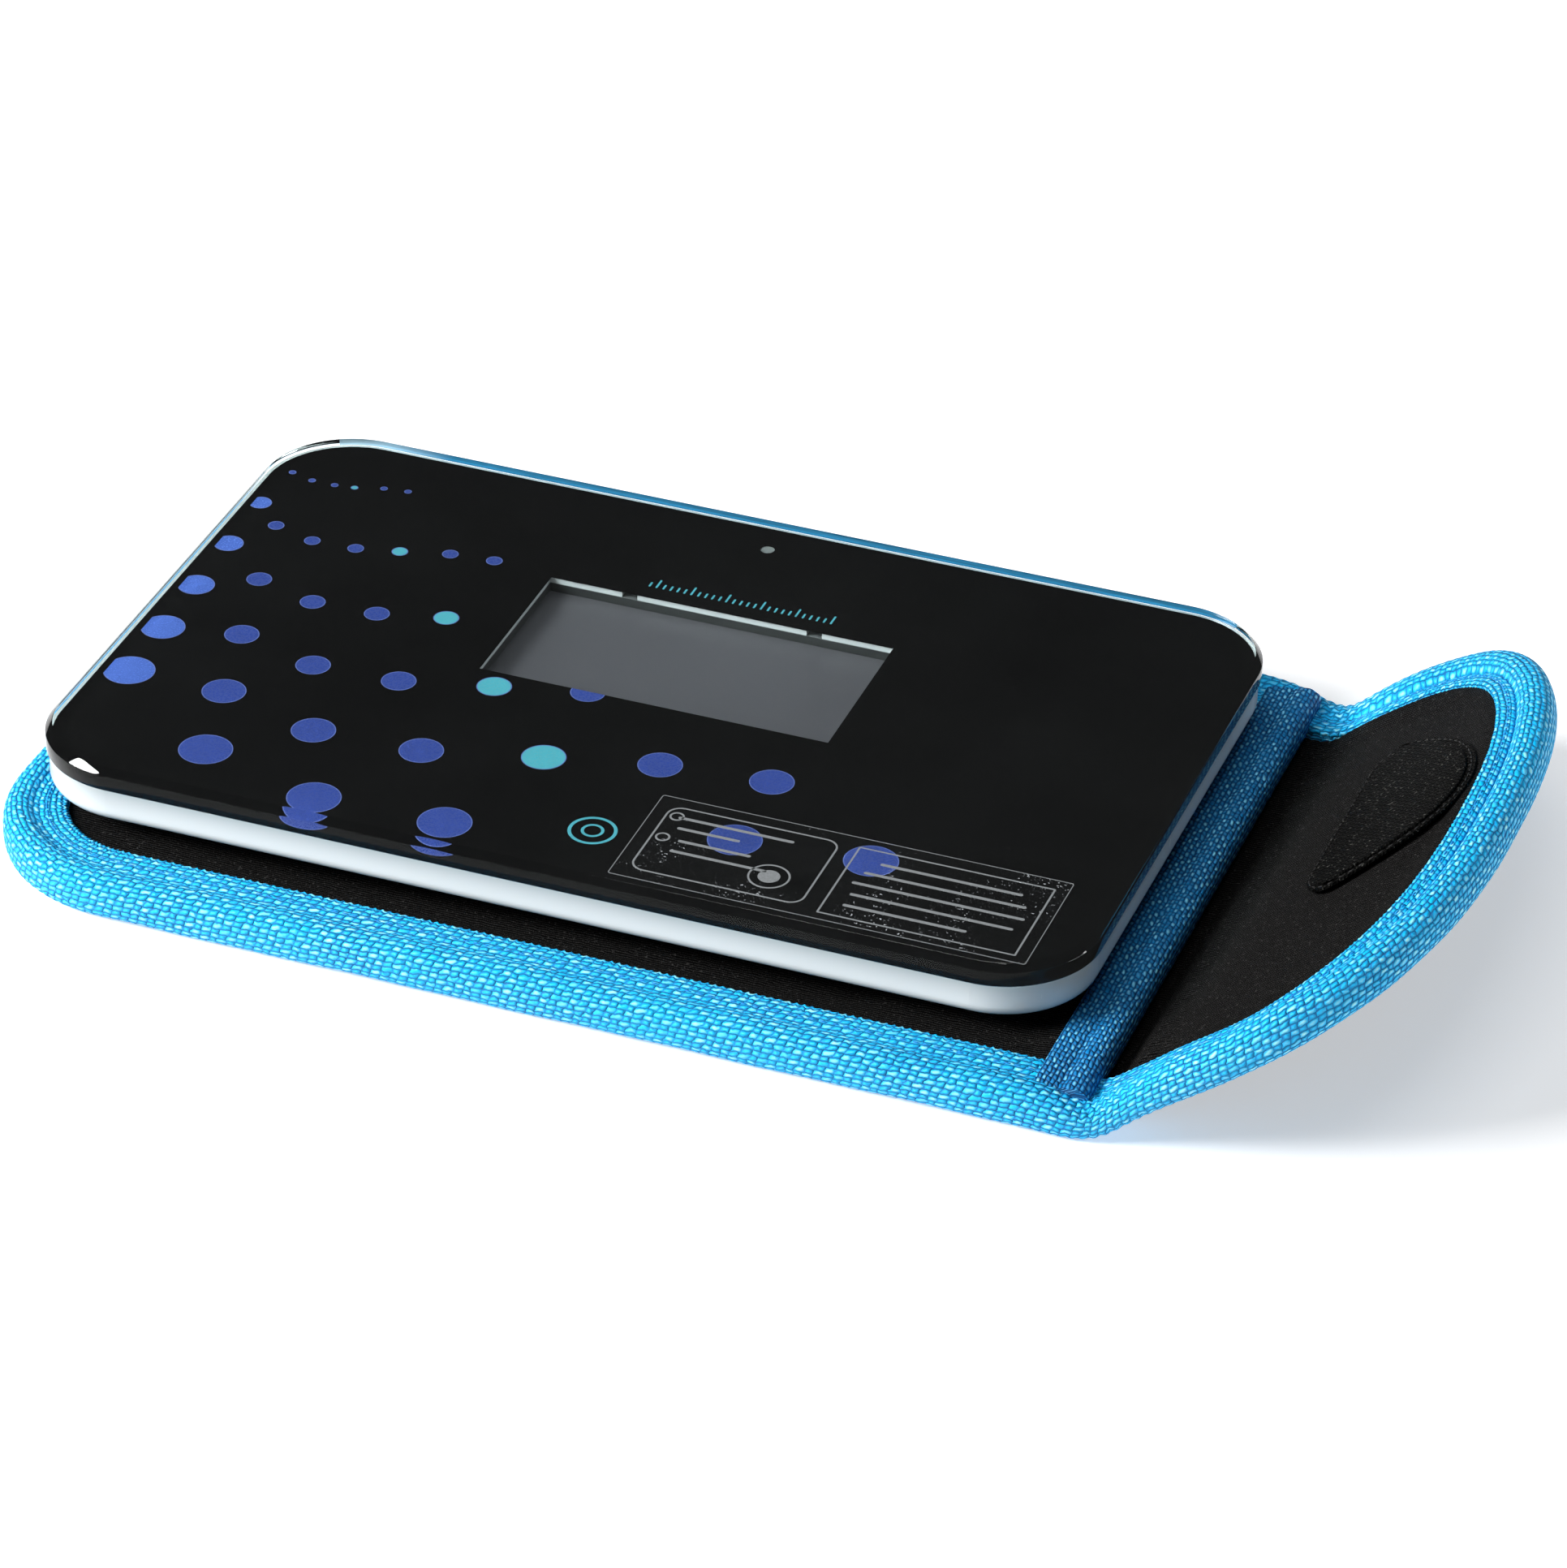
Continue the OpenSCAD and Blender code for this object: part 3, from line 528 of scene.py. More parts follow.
@dataclass(frozen=True)
class FloorFinish(Finish):
    """A pale table that glows a little, so shadows on it stay light."""

    colour: Colour
    glow: float = 0.42

    def surface(self, graph: Graph) -> bpy.types.NodeSocket:
        """Make the nodes.

        Args:
            graph: The material's node tree.

        Returns:
            The shader's output.
        """
        mottle = graph.remap(graph.noise(graph.object_place(), 30.0, 3.0), 0.3, 0.7, 0.98, 1.0)
        inputs = {
            "Base Color": graph.mix(mottle, (0.9, 0.9, 0.9, 1.0), self.colour),
            "Roughness": 0.7,
            "Specular IOR Level": 0.2,
            "Emission Color": (0.97, 0.98, 1.0, 1.0),
            "Emission Strength": self.glow,
        }
        return graph.node("BsdfPrincipled", inputs).outputs[0]


@dataclass(frozen=True)
class PaintedReflectionFinish(Finish):
    """The ground bevel at the back of the glass, in an opaque painted reflection of the blue tape round it, with a
    painted highlight at the left.
    """

    colour: Colour
    pale: Colour
    fade: tuple[float, float] = (-0.1, -0.075)

    def surface(self, graph: Graph) -> bpy.types.NodeSocket:
        """Make the nodes.

        Args:
            graph: The material's node tree.

        Returns:
            The shader's output.
        """
        where = graph.object_place()
        x = graph.node("SeparateXYZ", {0: where}).outputs[0]
        stretched = graph.node("Mapping", {"Vector": where, "Scale": (40.0, 900.0, 900.0)}).outputs[0]
        streaks = graph.remap(graph.noise(stretched, 1.0, 2.0), 0.35, 0.7)
        darker = tuple(c * 0.55 for c in self.colour[:3]) + (1.0,)
        # Painted reflection: teal with darker streaks, fading into the pale painted highlight at the left end.
        inputs = {
            "Base Color": graph.mix(
                graph.remap(x, *self.fade), self.pale, graph.mix(streaks, self.colour, darker)
            ),
            "Roughness": 0.12,
            "Coat Weight": 0.4,
        }
        return graph.node("BsdfPrincipled", inputs).outputs[0]


@dataclass(frozen=True)
class InkFinish(Finish):
    """Screen-printed ink with a fine, uneven grain."""

    colour: Colour
    roughness: float = 0.25
    metal: float = 0.0

    def surface(self, graph: Graph) -> bpy.types.NodeSocket:
        """Make the nodes.

        Args:
            graph: The material's node tree.

        Returns:
            The shader's output.
        """
        where = graph.object_place()
        screen = graph.remap(graph.noise(where, 2400.0, 2.0), 0.4, 0.6)
        deeper = tuple(c * 0.86 for c in self.colour[:3]) + (1.0,)
        inputs = {
            "Base Color": graph.mix(screen, self.colour, deeper),
            "Roughness": graph.remap(screen, 0.0, 1.0, self.roughness, self.roughness + 0.06),
            "Metallic": self.metal,
            "Specular IOR Level": 0.3,
        }
        return graph.node("BsdfPrincipled", inputs).outputs[0]


@dataclass(frozen=True)
class WovenFinish(Finish):
    """Woven polyester tape that follows the piece's own UV map, in metres, with painted shade in the pits between
    yarns and painted highlights on lit crowns.
    """

    colour: Colour
    crown_highlight: Colour
    pit_shade: Colour
    pitch: float = 0.00145
    depth: float = 0.00045
    slant: float = 0.35
    slack: float = 0.9

    def surface(self, graph: Graph) -> bpy.types.NodeSocket:
        """Make the nodes.

        Args:
            graph: The material's node tree.

        Returns:
            The shader's output.
        """
        uv = graph.node("SeparateXYZ", {0: graph.node("UVMap", uv_map="tape").outputs[0]})
        weave = graph.group(
            GROUPS.weave,
            {
                "Along": uv.outputs[0],
                "Across": uv.outputs[1],
                "Pitch": self.pitch,
                "Slack": self.slack,
                "Slant": self.slant,
            },
        )
        height = weave.outputs["Height"]
        # Painted shade: low parts of the weave are mixed towards the darker pit colour.
        tone = graph.mix(graph.remap(height, 0.15, 0.7), self.pit_shade, self.colour)
        # Painted highlight: lit crowns are mixed towards the pale crown colour.
        tone = graph.mix(weave.outputs["CrownHighlight"], tone, self.crown_highlight)
        fade = graph.noise(graph.object_place(), 60.0, 3.0)
        tone = graph.mix(graph.remap(fade, 0.35, 0.75, 0.0, 0.35), tone, self.colour)
        inputs = {
            "Base Color": tone,
            "Roughness": graph.remap(height, 0.2, 1.0, 0.75, 0.42),
            "Specular IOR Level": 0.35,
            "Normal": graph.bump(height, self.depth),
        }
        return graph.node("BsdfPrincipled", inputs).outputs[0]


@dataclass(frozen=True)
class KnitFinish(Finish):
    """Black knit over neoprene foam, or the pile of a fastening patch, with random light flecks and painted sheen
    on the loop tops.
    """

    colour: Colour
    fleck_and_sheen: Colour
    pitch: float = 0.0008
    depth: float = 0.00012
    flecks: float = 0.5
    gloss: float = 0.1
    loops: float = 0.22

    def surface(self, graph: Graph) -> bpy.types.NodeSocket:
        """Make the nodes.

        Args:
            graph: The material's node tree.

        Returns:
            The shader's output.
        """
        knit = graph.group(
            GROUPS.knit, {"Vector": graph.object_place(), "Pitch": self.pitch, "Flecks": self.flecks}
        )
        # Painted sheen: the high loop tops are mixed towards the fleck colour.
        loops = graph.math("MULTIPLY", graph.remap(knit.outputs["Height"], 0.5, 0.76), self.loops)
        tone = graph.mix(loops, self.colour, self.fleck_and_sheen)
        inputs = {
            "Base Color": graph.mix(knit.outputs["Fleck"], tone, self.fleck_and_sheen),
            "Roughness": graph.remap(knit.outputs["Height"], 0.2, 0.8, 0.85, 0.6),
            "Specular IOR Level": self.gloss,
            "Normal": graph.bump(knit.outputs["Height"], self.depth),
        }
        return graph.node("BsdfPrincipled", inputs).outputs[0]


GLASS = ClearFinish("platform_glass", (0.93, 0.985, 0.99, 1.0))
# Painted shade: the front wall's reflections are tinted down to 12 %, so the wall reads dark.
SHADED_GLASS_WALL = ClearFinish("glass_wall_shaded", (0.93, 0.985, 0.99, 1.0), sheen=0.12)
FILM = ClearFinish("film", (0.985, 0.99, 0.99, 1.0), ior=1.25, veil=0.32)
NEOPRENE = KnitFinish("neoprene", srgb(2, 2, 2), srgb(78, 77, 76), 0.0007, gloss=0.03, loops=0.46)
HOOKS = KnitFinish("hooks", srgb(2, 2, 2), srgb(92, 92, 88), 0.0012, 0.0007, 1.0, 0.05, 0.1)
# Blue tape: base colour, painted crown highlight, painted pit shade.
BINDING = WovenFinish("binding", srgb(0, 190, 252), srgb(176, 250, 255), srgb(0, 92, 160), 0.0019, 0.0006)
# Painted shade: the mouth tape is the binding's tape in darker colours, as it lies in the scale's shadow.
SHADED_MOUTH_TAPE = WovenFinish("mouth", srgb(0, 124, 190), srgb(150, 236, 255), srgb(0, 48, 96), 0.0015, 0.0005)
THREAD = MouldedFinish("thread", srgb(0, 116, 186), 0.5, 2500.0, 0.00008, 0.3)
DARK_THREAD = MouldedFinish("dark_thread", srgb(40, 40, 40), 0.5, 2500.0, 0.00008, 0.3)
BLUE_INK = InkFinish("blue_ink", srgb(46, 62, 124))
# Painted highlight: the side column's dots are the blue print made lighter; the metal share gives a real sheen.
LIT_SIDE_INK = InkFinish("side_ink_lit", srgb(78, 108, 190), 0.22, 0.35)
TEAL_INK = InkFinish("teal_ink", srgb(70, 146, 158))
PALE_INK = InkFinish("pale_ink", srgb(82, 96, 150))
WHITE_INK = InkFinish("white_ink", srgb(128, 132, 134), 0.4)
FLOOR = FloorFinish("floor", srgb(232, 232, 232))
# Teal painted reflection of the blue tape, with a pale painted highlight at the left end.
BACK_EDGE_REFLECTION = PaintedReflectionFinish("back_edge_reflection", srgb(40, 118, 158), srgb(176, 204, 218))
SLOT_FINISHES: dict[str, Finish] = {
    "print": MouldedFinish("print", srgb(5, 5, 5), 0.5, 1800.0, 0.000004, 0.0),
    "white_abs": ShellFinish("housing", srgb(222, 222, 218), 0.2, 700.0, 0.000006, 0.55, 0.5, 0.05),
    "foam_tape": MouldedFinish("tape", srgb(120, 122, 124), 0.8, 1500.0, 0.0001, 0.2),
    "frame_plastic": FrameFinish("display_frame", srgb(30, 31, 31), 0.45, 900.0, 0.00002),
    "lcd": MouldedFinish("display", srgb(62, 60, 63), 0.3, 3000.0, 0.000004, 0.25),
    "foam": MouldedFinish("pad", srgb(52, 52, 54), 0.9, 1800.0, 0.0002, 0.15),
    "ribbon": MouldedFinish("ribbon", srgb(198, 128, 44), 0.3, 600.0, 0.00001, 0.5, 0.4),
    "steel": MetalFinish("screw_steel", srgb(196, 198, 202), 0.28),
    "pcb": MouldedFinish("board", srgb(20, 92, 48), 0.3, 1400.0, 0.00002, 0.5, 0.4),
    "epoxy": MouldedFinish("chip", srgb(16, 16, 17), 0.15, 300.0, 0.00004, 0.5, 0.5),
    "ceramic_chip": MouldedFinish("capacitors", srgb(168, 140, 100), 0.4, 2500.0, 0.00001),
    "switch_body": MouldedFinish("switch", srgb(28, 28, 30), 0.4),
    "button_grey": MouldedFinish("button", srgb(108, 112, 118), 0.4, 1200.0, 0.00003),
    "lamp": MouldedFinish("lamp", srgb(96, 99, 98), 0.25, 500.0, 0.00001, 0.5, 0.3, 0.2),
    "wire": MouldedFinish("wire", srgb(176, 30, 30), 0.38, 1500.0, 0.00001),
    "coin_steel": MetalFinish("coin", srgb(214, 214, 216), 0.16, (1400.0, 90.0, 90.0)),
    "contact": MetalFinish("contact", srgb(214, 190, 128), 0.22),
    "label": MouldedFinish("label", srgb(198, 200, 204), 0.3, 1200.0, 0.00001, 0.5, 0.2),
    "cell_steel": MetalFinish("cell_steel", srgb(168, 172, 180), 0.34),
    "gauge": MouldedFinish("gauge", srgb(214, 150, 70), 0.3, 900.0, 0.00001, 0.5, 0.4),
    "foot_plastic": MouldedFinish("foot", srgb(226, 228, 230), 0.35, 900.0, 0.00002),
    "pad_rubber": MouldedFinish("foot_pad", srgb(44, 44, 46), 0.7, 1400.0, 0.00008, 0.25),
}


# ---------------------------------------------------------------------------
# Mesh work
# ---------------------------------------------------------------------------


def finish_piece(
    name: str, bm: bmesh.types.BMesh, finish: Finish, sharp: float = 35.0
) -> bpy.types.Object:
    """Turn a bmesh into a shaded piece at the origin.

    Args:
        name: The piece's name.
        bm: The finished bmesh, which is freed.
        finish: What it is dressed in.
        sharp: Edges that turn by more than this many degrees stay sharp.

    Returns:
        The new object.
    """
    limit = math.radians(sharp)
    for face in bm.faces:
        face.smooth = True
    for edge in bm.edges:
        edge.smooth = edge.calc_face_angle(0.0) < limit
    mesh = bpy.data.meshes.new(name)
    bm.to_mesh(mesh)
    bm.free()
    mesh.materials.append(finish.material())
    made = bpy.data.objects.new(name, mesh)
    bpy.context.scene.collection.objects.link(made)
    LOG.info("%s: %d faces", name, len(mesh.polygons))
    return made


def rounded_face(
    bm: bmesh.types.BMesh, centre: Plan, size: Plan, corner: float, z: float, segments: int = 12
) -> bmesh.types.BMFace:
    """Add a flat rectangle with round corners that faces up.

    Args:
        bm: The mesh that gets it.
        centre: The middle, in plan.
        size: Length along x and width along y.
        corner: Radius of the corners, or 0.
        z: Its height.
        segments: Steps in each corner.

    Returns:
        The face.
    """
    place = Matrix.Translation((centre[0], centre[1], z)) @ Matrix.Diagonal((size[0], size[1], 1.0, 1.0))
    made = bmesh.ops.create_grid(bm, x_segments=1, y_segments=1, size=0.5, matrix=place)
    corners = made["verts"]
    face = corners[0].link_faces[0]
    if corner > 0:
        bmesh.ops.bevel(
            bm, geom=corners, offset=corner, segments=segments, profile=0.5, affect="VERTICES", material=-1
        )
        face = max((f for f in bm.faces if abs(f.calc_center_median().z - z) < 1e-7), key=near_area(centre))
    face.normal_update()
    if face.normal.z < 0:
        face.normal_flip()
    return face


def near_area(centre: Plan) -> Callable[[bmesh.types.BMFace], float]:
    """Make a key that ranks faces by how close they lie to a place.

    Args:
        centre: The place, in plan.

    Returns:
        A function of a face, highest for the nearest one.
    """

    def rank(face: bmesh.types.BMFace) -> float:
        """Return minus the distance from the place."""
        middle = face.calc_center_median()
        return -math.hypot(middle.x - centre[0], middle.y - centre[1])

    return rank


def raise_face(bm: bmesh.types.BMesh, face: bmesh.types.BMFace, height: float) -> bmesh.types.BMFace:
    """Pull a face straight up into a block.

    Args:
        bm: The mesh.
        face: A face that looks up.
        height: How far it is pulled.

    Returns:
        The block's top face.
    """
    grown = bmesh.ops.extrude_face_region(bm, geom=[face])["geom"]
    verts = [g for g in grown if isinstance(g, bmesh.types.BMVert)]
    bmesh.ops.translate(bm, verts=verts, vec=(0.0, 0.0, height))
    top = next(g for g in grown if isinstance(g, bmesh.types.BMFace))
    top.normal_update()
    return top


def rounded_slab(
    bm: bmesh.types.BMesh,
    centre: Plan,
    size: Plan,
    corner: float,
    low: float,
    high: float,
    segments: int = 12,
) -> bmesh.types.BMFace:
    """Add a closed block with round upright corners and return its top face."""
    face = rounded_face(bm, centre, size, corner, low, segments)
    return raise_face(bm, face, high - low)


def disc(
    bm: bmesh.types.BMesh, centre: Plan, radius: float, low: float, high: float, segments: int = 48
) -> list[bmesh.types.BMVert]:
    """Add a thin upright cylinder.

    Args:
        bm: The mesh that gets it.
        centre: The middle, in plan.
        radius: Its radius.
        low: Height of its underside.
        high: Height of its top.
        segments: Sides of the circle.

    Returns:
        Its vertices.
    """
    place = Matrix.Translation((centre[0], centre[1], (low + high) / 2))
    made = bmesh.ops.create_cone(
        bm, cap_ends=True, segments=segments, radius1=radius, radius2=radius, depth=high - low, matrix=place
    )
    return made["verts"]


def ring(bm: bmesh.types.BMesh, centre: Plan, outer: float, inner: float, low: float, high: float) -> None:
    """Add a flat ring with square edges, made by one full spin of its section.

    Args:
        bm: The mesh that gets it.
        centre: The middle, in plan.
        outer: Its outer radius.
        inner: Its inner radius.
        low: Height of its underside.
        high: Height of its top.
    """
    mid = Vector((centre[0], centre[1], 0.0))
    corners = [(inner, low), (outer, low), (outer, high), (inner, high)]
    verts = [bm.verts.new(mid + Vector((r, 0.0, z))) for r, z in corners]
    edges = [bm.edges.new((verts[i], verts[(i + 1) % 4])) for i in range(4)]
    before = set(bm.faces)
    bmesh.ops.spin(bm, geom=edges, cent=mid, axis=UP, angle=2 * math.pi, steps=48, use_merge=True)
    bmesh.ops.recalc_face_normals(bm, faces=[f for f in bm.faces if f not in before])


@dataclass
class Sweep:
    """A closed section carried along a path, with its UV map in metres along and around it."""

    section: Callable[[int, int], Vector]
    stations: int
    points: int
    closed: bool
    along: Sequence[float]
    around: Sequence[float]

    def build(self) -> bmesh.types.BMesh:
        """Lay a grid along the path and weld its seams.

        Returns:
            The swept mesh, closed at its ends.
        """
        bm = bmesh.new()
        columns = self.stations if self.closed else self.stations - 1
        bmesh.ops.create_grid(bm, x_segments=columns, y_segments=self.points, size=0.5)
        layer = bm.loops.layers.uv.new("tape")
        places = {}
        for vert in bm.verts:
            places[vert] = (round((vert.co.x + 0.5) * columns), round((vert.co.y + 0.5) * self.points))
        for face in bm.faces:
            for loop in face.loops:
                i, k = places[loop.vert]
                loop[layer].uv = (self.along[i], self.around[k])
        for vert, (i, k) in places.items():
            vert.co = self.section(i % self.stations, k % self.points)
        bmesh.ops.remove_doubles(bm, verts=bm.verts, dist=1e-6)
        if not self.closed:
            bmesh.ops.holes_fill(bm, edges=[e for e in bm.edges if e.is_boundary], sides=0)
        bmesh.ops.recalc_face_normals(bm, faces=bm.faces)
        return bm


# ---------------------------------------------------------------------------
# Scale
# ---------------------------------------------------------------------------


@dataclass
class GlassPlatform:
    """The tempered glass, with a ground bevel and softened arrises."""

    corner: float = 20.0 * MM
    bevel: float = 1.4 * MM
    lower_bevel: float = 0.5 * MM
    arris: float = 0.12 * MM
    rim: float = 0.1 * MM
    reflection_band: float = 3.0 * MM
    bevel_turn: tuple[float, float] = (0.5, 1.2)
    sink: float = 0.07 * MM

    def build(self) -> bpy.types.Object:
        """Shape the glass so that its underside reaches just past the print's face.

        Returns:
            The glass piece.
        """
        low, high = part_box("glass_platform")
        size = (high.x - low.x, high.y - low.y)
        centre = ((high.x + low.x) / 2, (high.y + low.y) / 2)
        bm = bmesh.new()
        top = rounded_slab(bm, centre, size, self.corner, low.z - self.sink, high.z, 24)
        bottom = min(bm.faces, key=lambda f: f.calc_center_median().z)
        for face, offset in ((top, self.bevel), (bottom, self.lower_bevel)):
            edges = list(face.edges)
            bmesh.ops.bevel(
                bm, geom=edges, offset=offset, segments=1, profile=0.5, affect="EDGES", material=-1
            )
        least, most = self.bevel_turn
        turned = [e for e in bm.edges if least < e.calc_face_angle(0.0) < most]
        bmesh.ops.bevel(
            bm, geom=turned, offset=self.arris, segments=3, profile=0.5, affect="EDGES", material=-1
        )
        flats = [f for f in bm.faces if abs(f.normal.z) > 0.999]
        bmesh.ops.inset_region(bm, faces=flats, thickness=self.rim, use_even_offset=True)
        bmesh.ops.recalc_face_normals(bm, faces=bm.faces)
        for face in bm.faces:
            # The back bevel and wall get the opaque painted reflection of the blue tape.
            shows_reflection = face.calc_center_median().y > high.y - self.reflection_band and face.normal.y > 0.3
            # The front wall and its lower bevel get the glass with dimmed reflections, a painted shade.
            shaded_front = face.normal.y < -0.2 and face.normal.z < 0.35
            face.material_index = 1 if shows_reflection else 2 if shaded_front else 0
        made = finish_piece("platform_glass", bm, GLASS, 60.0)
        made.data.materials.append(BACK_EDGE_REFLECTION.material())
        made.data.materials.append(SHADED_GLASS_WALL.material())
        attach(made, Body.SCALE.value)
        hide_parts("glass_platform")
        return made


@dataclass(frozen=True)
class DotColumn:
    """One slanting column of printed dots, which grow from row to row."""

    start: Plan
    step: Plan
    rows: tuple[int, ...]


@dataclass
class PlatformPrint:
    """The coloured art on the back of the glass."""

    columns: tuple[DotColumn, ...] = (
        DotColumn((-98.6, 31.9), (5.65, -21.3), (0, 1, 2, 3, 4)),
        DotColumn((-89.1, 29.0), (10.0, -22.6), (0, 1, 2, 3, 4)),
        DotColumn((-79.5, 29.5), (14.4, -22.4), (0, 1, 2, 3, 4)),
        DotColumn((-60.4, 34.8), (23.3, -19.9), (0, 2, 3, 4)),
        DotColumn((-50.9, 35.7), (27.7, -19.4), (0, 3, 4)),
    )
    teal_column: DotColumn = DotColumn((-70.5, 31.8), (19.2, -20.9), (0, 1, 2, 3))
    first_row: tuple[Plan, ...] = (
        (-104.4, 53.5),
        (-99.2, 51.9),
        (-94.0, 51.9),
        (-83.8, 54.5),
        (-78.6, 55.2),
    )
    first_teal: Plan = (-89.7, 52.5)
    first_dot: float = 0.8
    dot: float = 1.73
    growth: float = 0.93
    side_start: Plan = (-102.6, -31.9)
    side_step: Plan = (-0.72, 17.8)
    side_dot: float = 5.3
    side_shrink: float = 0.725
    border: float = -107.0
    dot_rim: float = 0.2
    window_margin: float = 2.6 * MM
    film: float = 0.02 * MM
    tick_count: int = 27
    tick_start: Plan = (-17.4, 38.2)
    tick_pitch: float = 1.53
    tick_width: float = 0.42
    short_tick: float = 1.8
    tall_tick: float = 3.2
    ring_centre: Plan = (5.9, -52.0)
    ring_radii: tuple[Plan, ...] = ((4.9, 4.2), (2.3, 1.7))

    def level(self) -> tuple[float, float]:
        """Return the ink's underside and top, on the print's face."""
        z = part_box("print_mask")[1].z
        return z - self.film, z + self.film

    def column_dots(self, column: DotColumn) -> list[tuple[Plan, float]]:
        """Return each dot's place and radius in a column, in millimetres."""
        (x, y), (dx, dy) = column.start, column.step
        return [((x + k * dx, y + k * dy), self.dot + k * self.growth) for k in column.rows]

    def dots(self, name: str, places: Iterable[tuple[Plan, float]], finish: Finish) -> bpy.types.Object:
        """Print one colour of dots, cut off where the window or the print's border crosses them.

        Args:
            name: The piece's name.
            places: Places and radii in millimetres.
            finish: The ink.

        Returns:
            The piece.
        """
        low, high = self.level()
        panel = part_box("display_panel")
        window_front = panel[0].y + self.window_margin
        window_right = panel[1].x - self.window_margin
        window_left = panel[0].x + self.window_margin
        bm = bmesh.new()
        for (x, y), radius in places:
            part = bmesh.new()
            disc(part, (x * MM, y * MM), radius * MM, low, high)
            face = max(part.faces, key=lambda f: f.calc_center_median().z)
            line = min(self.dot_rim, radius * self.dot_rim) * MM
            for rim_face in bmesh.ops.inset_region(part, faces=[face], thickness=line)["faces"]:
                rim_face.material_index = 1
            if x - radius < self.border:
                cut(part, (self.border * MM, 0.0, 0.0), (-1.0, 0.0, 0.0))
            across = window_left < x * MM < window_right
            if across and window_front - radius * MM < y * MM < panel[1].y:
                cut(part, (0.0, window_front, 0.0), (0.0, 1.0, 0.0))
            join(bm, part)
        made = finish_piece(name, bm, finish, 30.0)
        made.data.materials.append(PALE_INK.material())
        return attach(made, Body.SCALE.value)

    def build(self) -> None:
        """Print the dots, the row of ticks and the ring mark."""
        blue = [d for column in self.columns for d in self.column_dots(column)]
        blue += [(place, self.first_dot) for place in self.first_row]
        self.dots("blue_dots", blue, BLUE_INK)
        teal = [*self.column_dots(self.teal_column), (self.first_teal, self.first_dot)]
        self.dots("teal_dots", teal, TEAL_INK)
        (x, y), (dx, dy) = self.side_start, self.side_step
        side = [((x + k * dx, y + k * dy), self.side_dot - k * self.side_shrink) for k in range(5)]
        self.dots("side_dots", side, LIT_SIDE_INK)
        self.ticks()
        self.ring_mark()

    def ticks(self) -> bpy.types.Object:
        """Print a plain row of ticks behind the window.

        Returns:
            The piece.
        """
        low, high = self.level()
        bm = bmesh.new()
        for k in range(self.tick_count):
            tall = (self.tall_tick if k % 5 == 1 else self.short_tick) * MM
            middle = ((self.tick_start[0] + self.tick_pitch * k) * MM, self.tick_start[1] * MM + tall / 2)
            rounded_slab(bm, middle, (self.tick_width * MM, tall), 0.15 * MM, low, high, 3)
        made = finish_piece("teal_ticks", bm, TEAL_INK)
        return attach(made, Body.SCALE.value)

    def ring_mark(self) -> bpy.types.Object:
        """Print a small mark of two plain rings.

        Returns:
            The piece.
        """
        low, high = self.level()
        centre = (self.ring_centre[0] * MM, self.ring_centre[1] * MM)
        bm = bmesh.new()
        for outer, inner in self.ring_radii:
            ring(bm, centre, outer * MM, inner * MM, low, high)
        made = finish_piece("teal_ring", bm, TEAL_INK)
        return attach(made, Body.SCALE.value)


def cut(bm: bmesh.types.BMesh, place: Sequence[float], normal: Sequence[float]) -> None:
    """Cut a mesh with a plane, drop what lies on the normal's side and close the cut.

    Args:
        bm: The mesh.
        place: A point of the plane.
        normal: The plane's normal.
    """
    geom = list(bm.verts) + list(bm.edges) + list(bm.faces)
    done = bmesh.ops.bisect_plane(bm, geom=geom, plane_co=place, plane_no=normal, clear_outer=True)
    edges = [g for g in done["geom_cut"] if isinstance(g, bmesh.types.BMEdge)]
    if edges:
        bmesh.ops.edgenet_fill(bm, edges=edges)
        bmesh.ops.recalc_face_normals(bm, faces=bm.faces)


def join(bm: bmesh.types.BMesh, part: bmesh.types.BMesh) -> None:
    """Add a part's mesh to another and free the part.

    Args:
        bm: The mesh that gets it.
        part: The mesh that is added.
    """
    mesh = bpy.data.meshes.new("part")
    part.to_mesh(mesh)
    part.free()
    bm.from_mesh(mesh)
    bpy.data.meshes.remove(mesh)


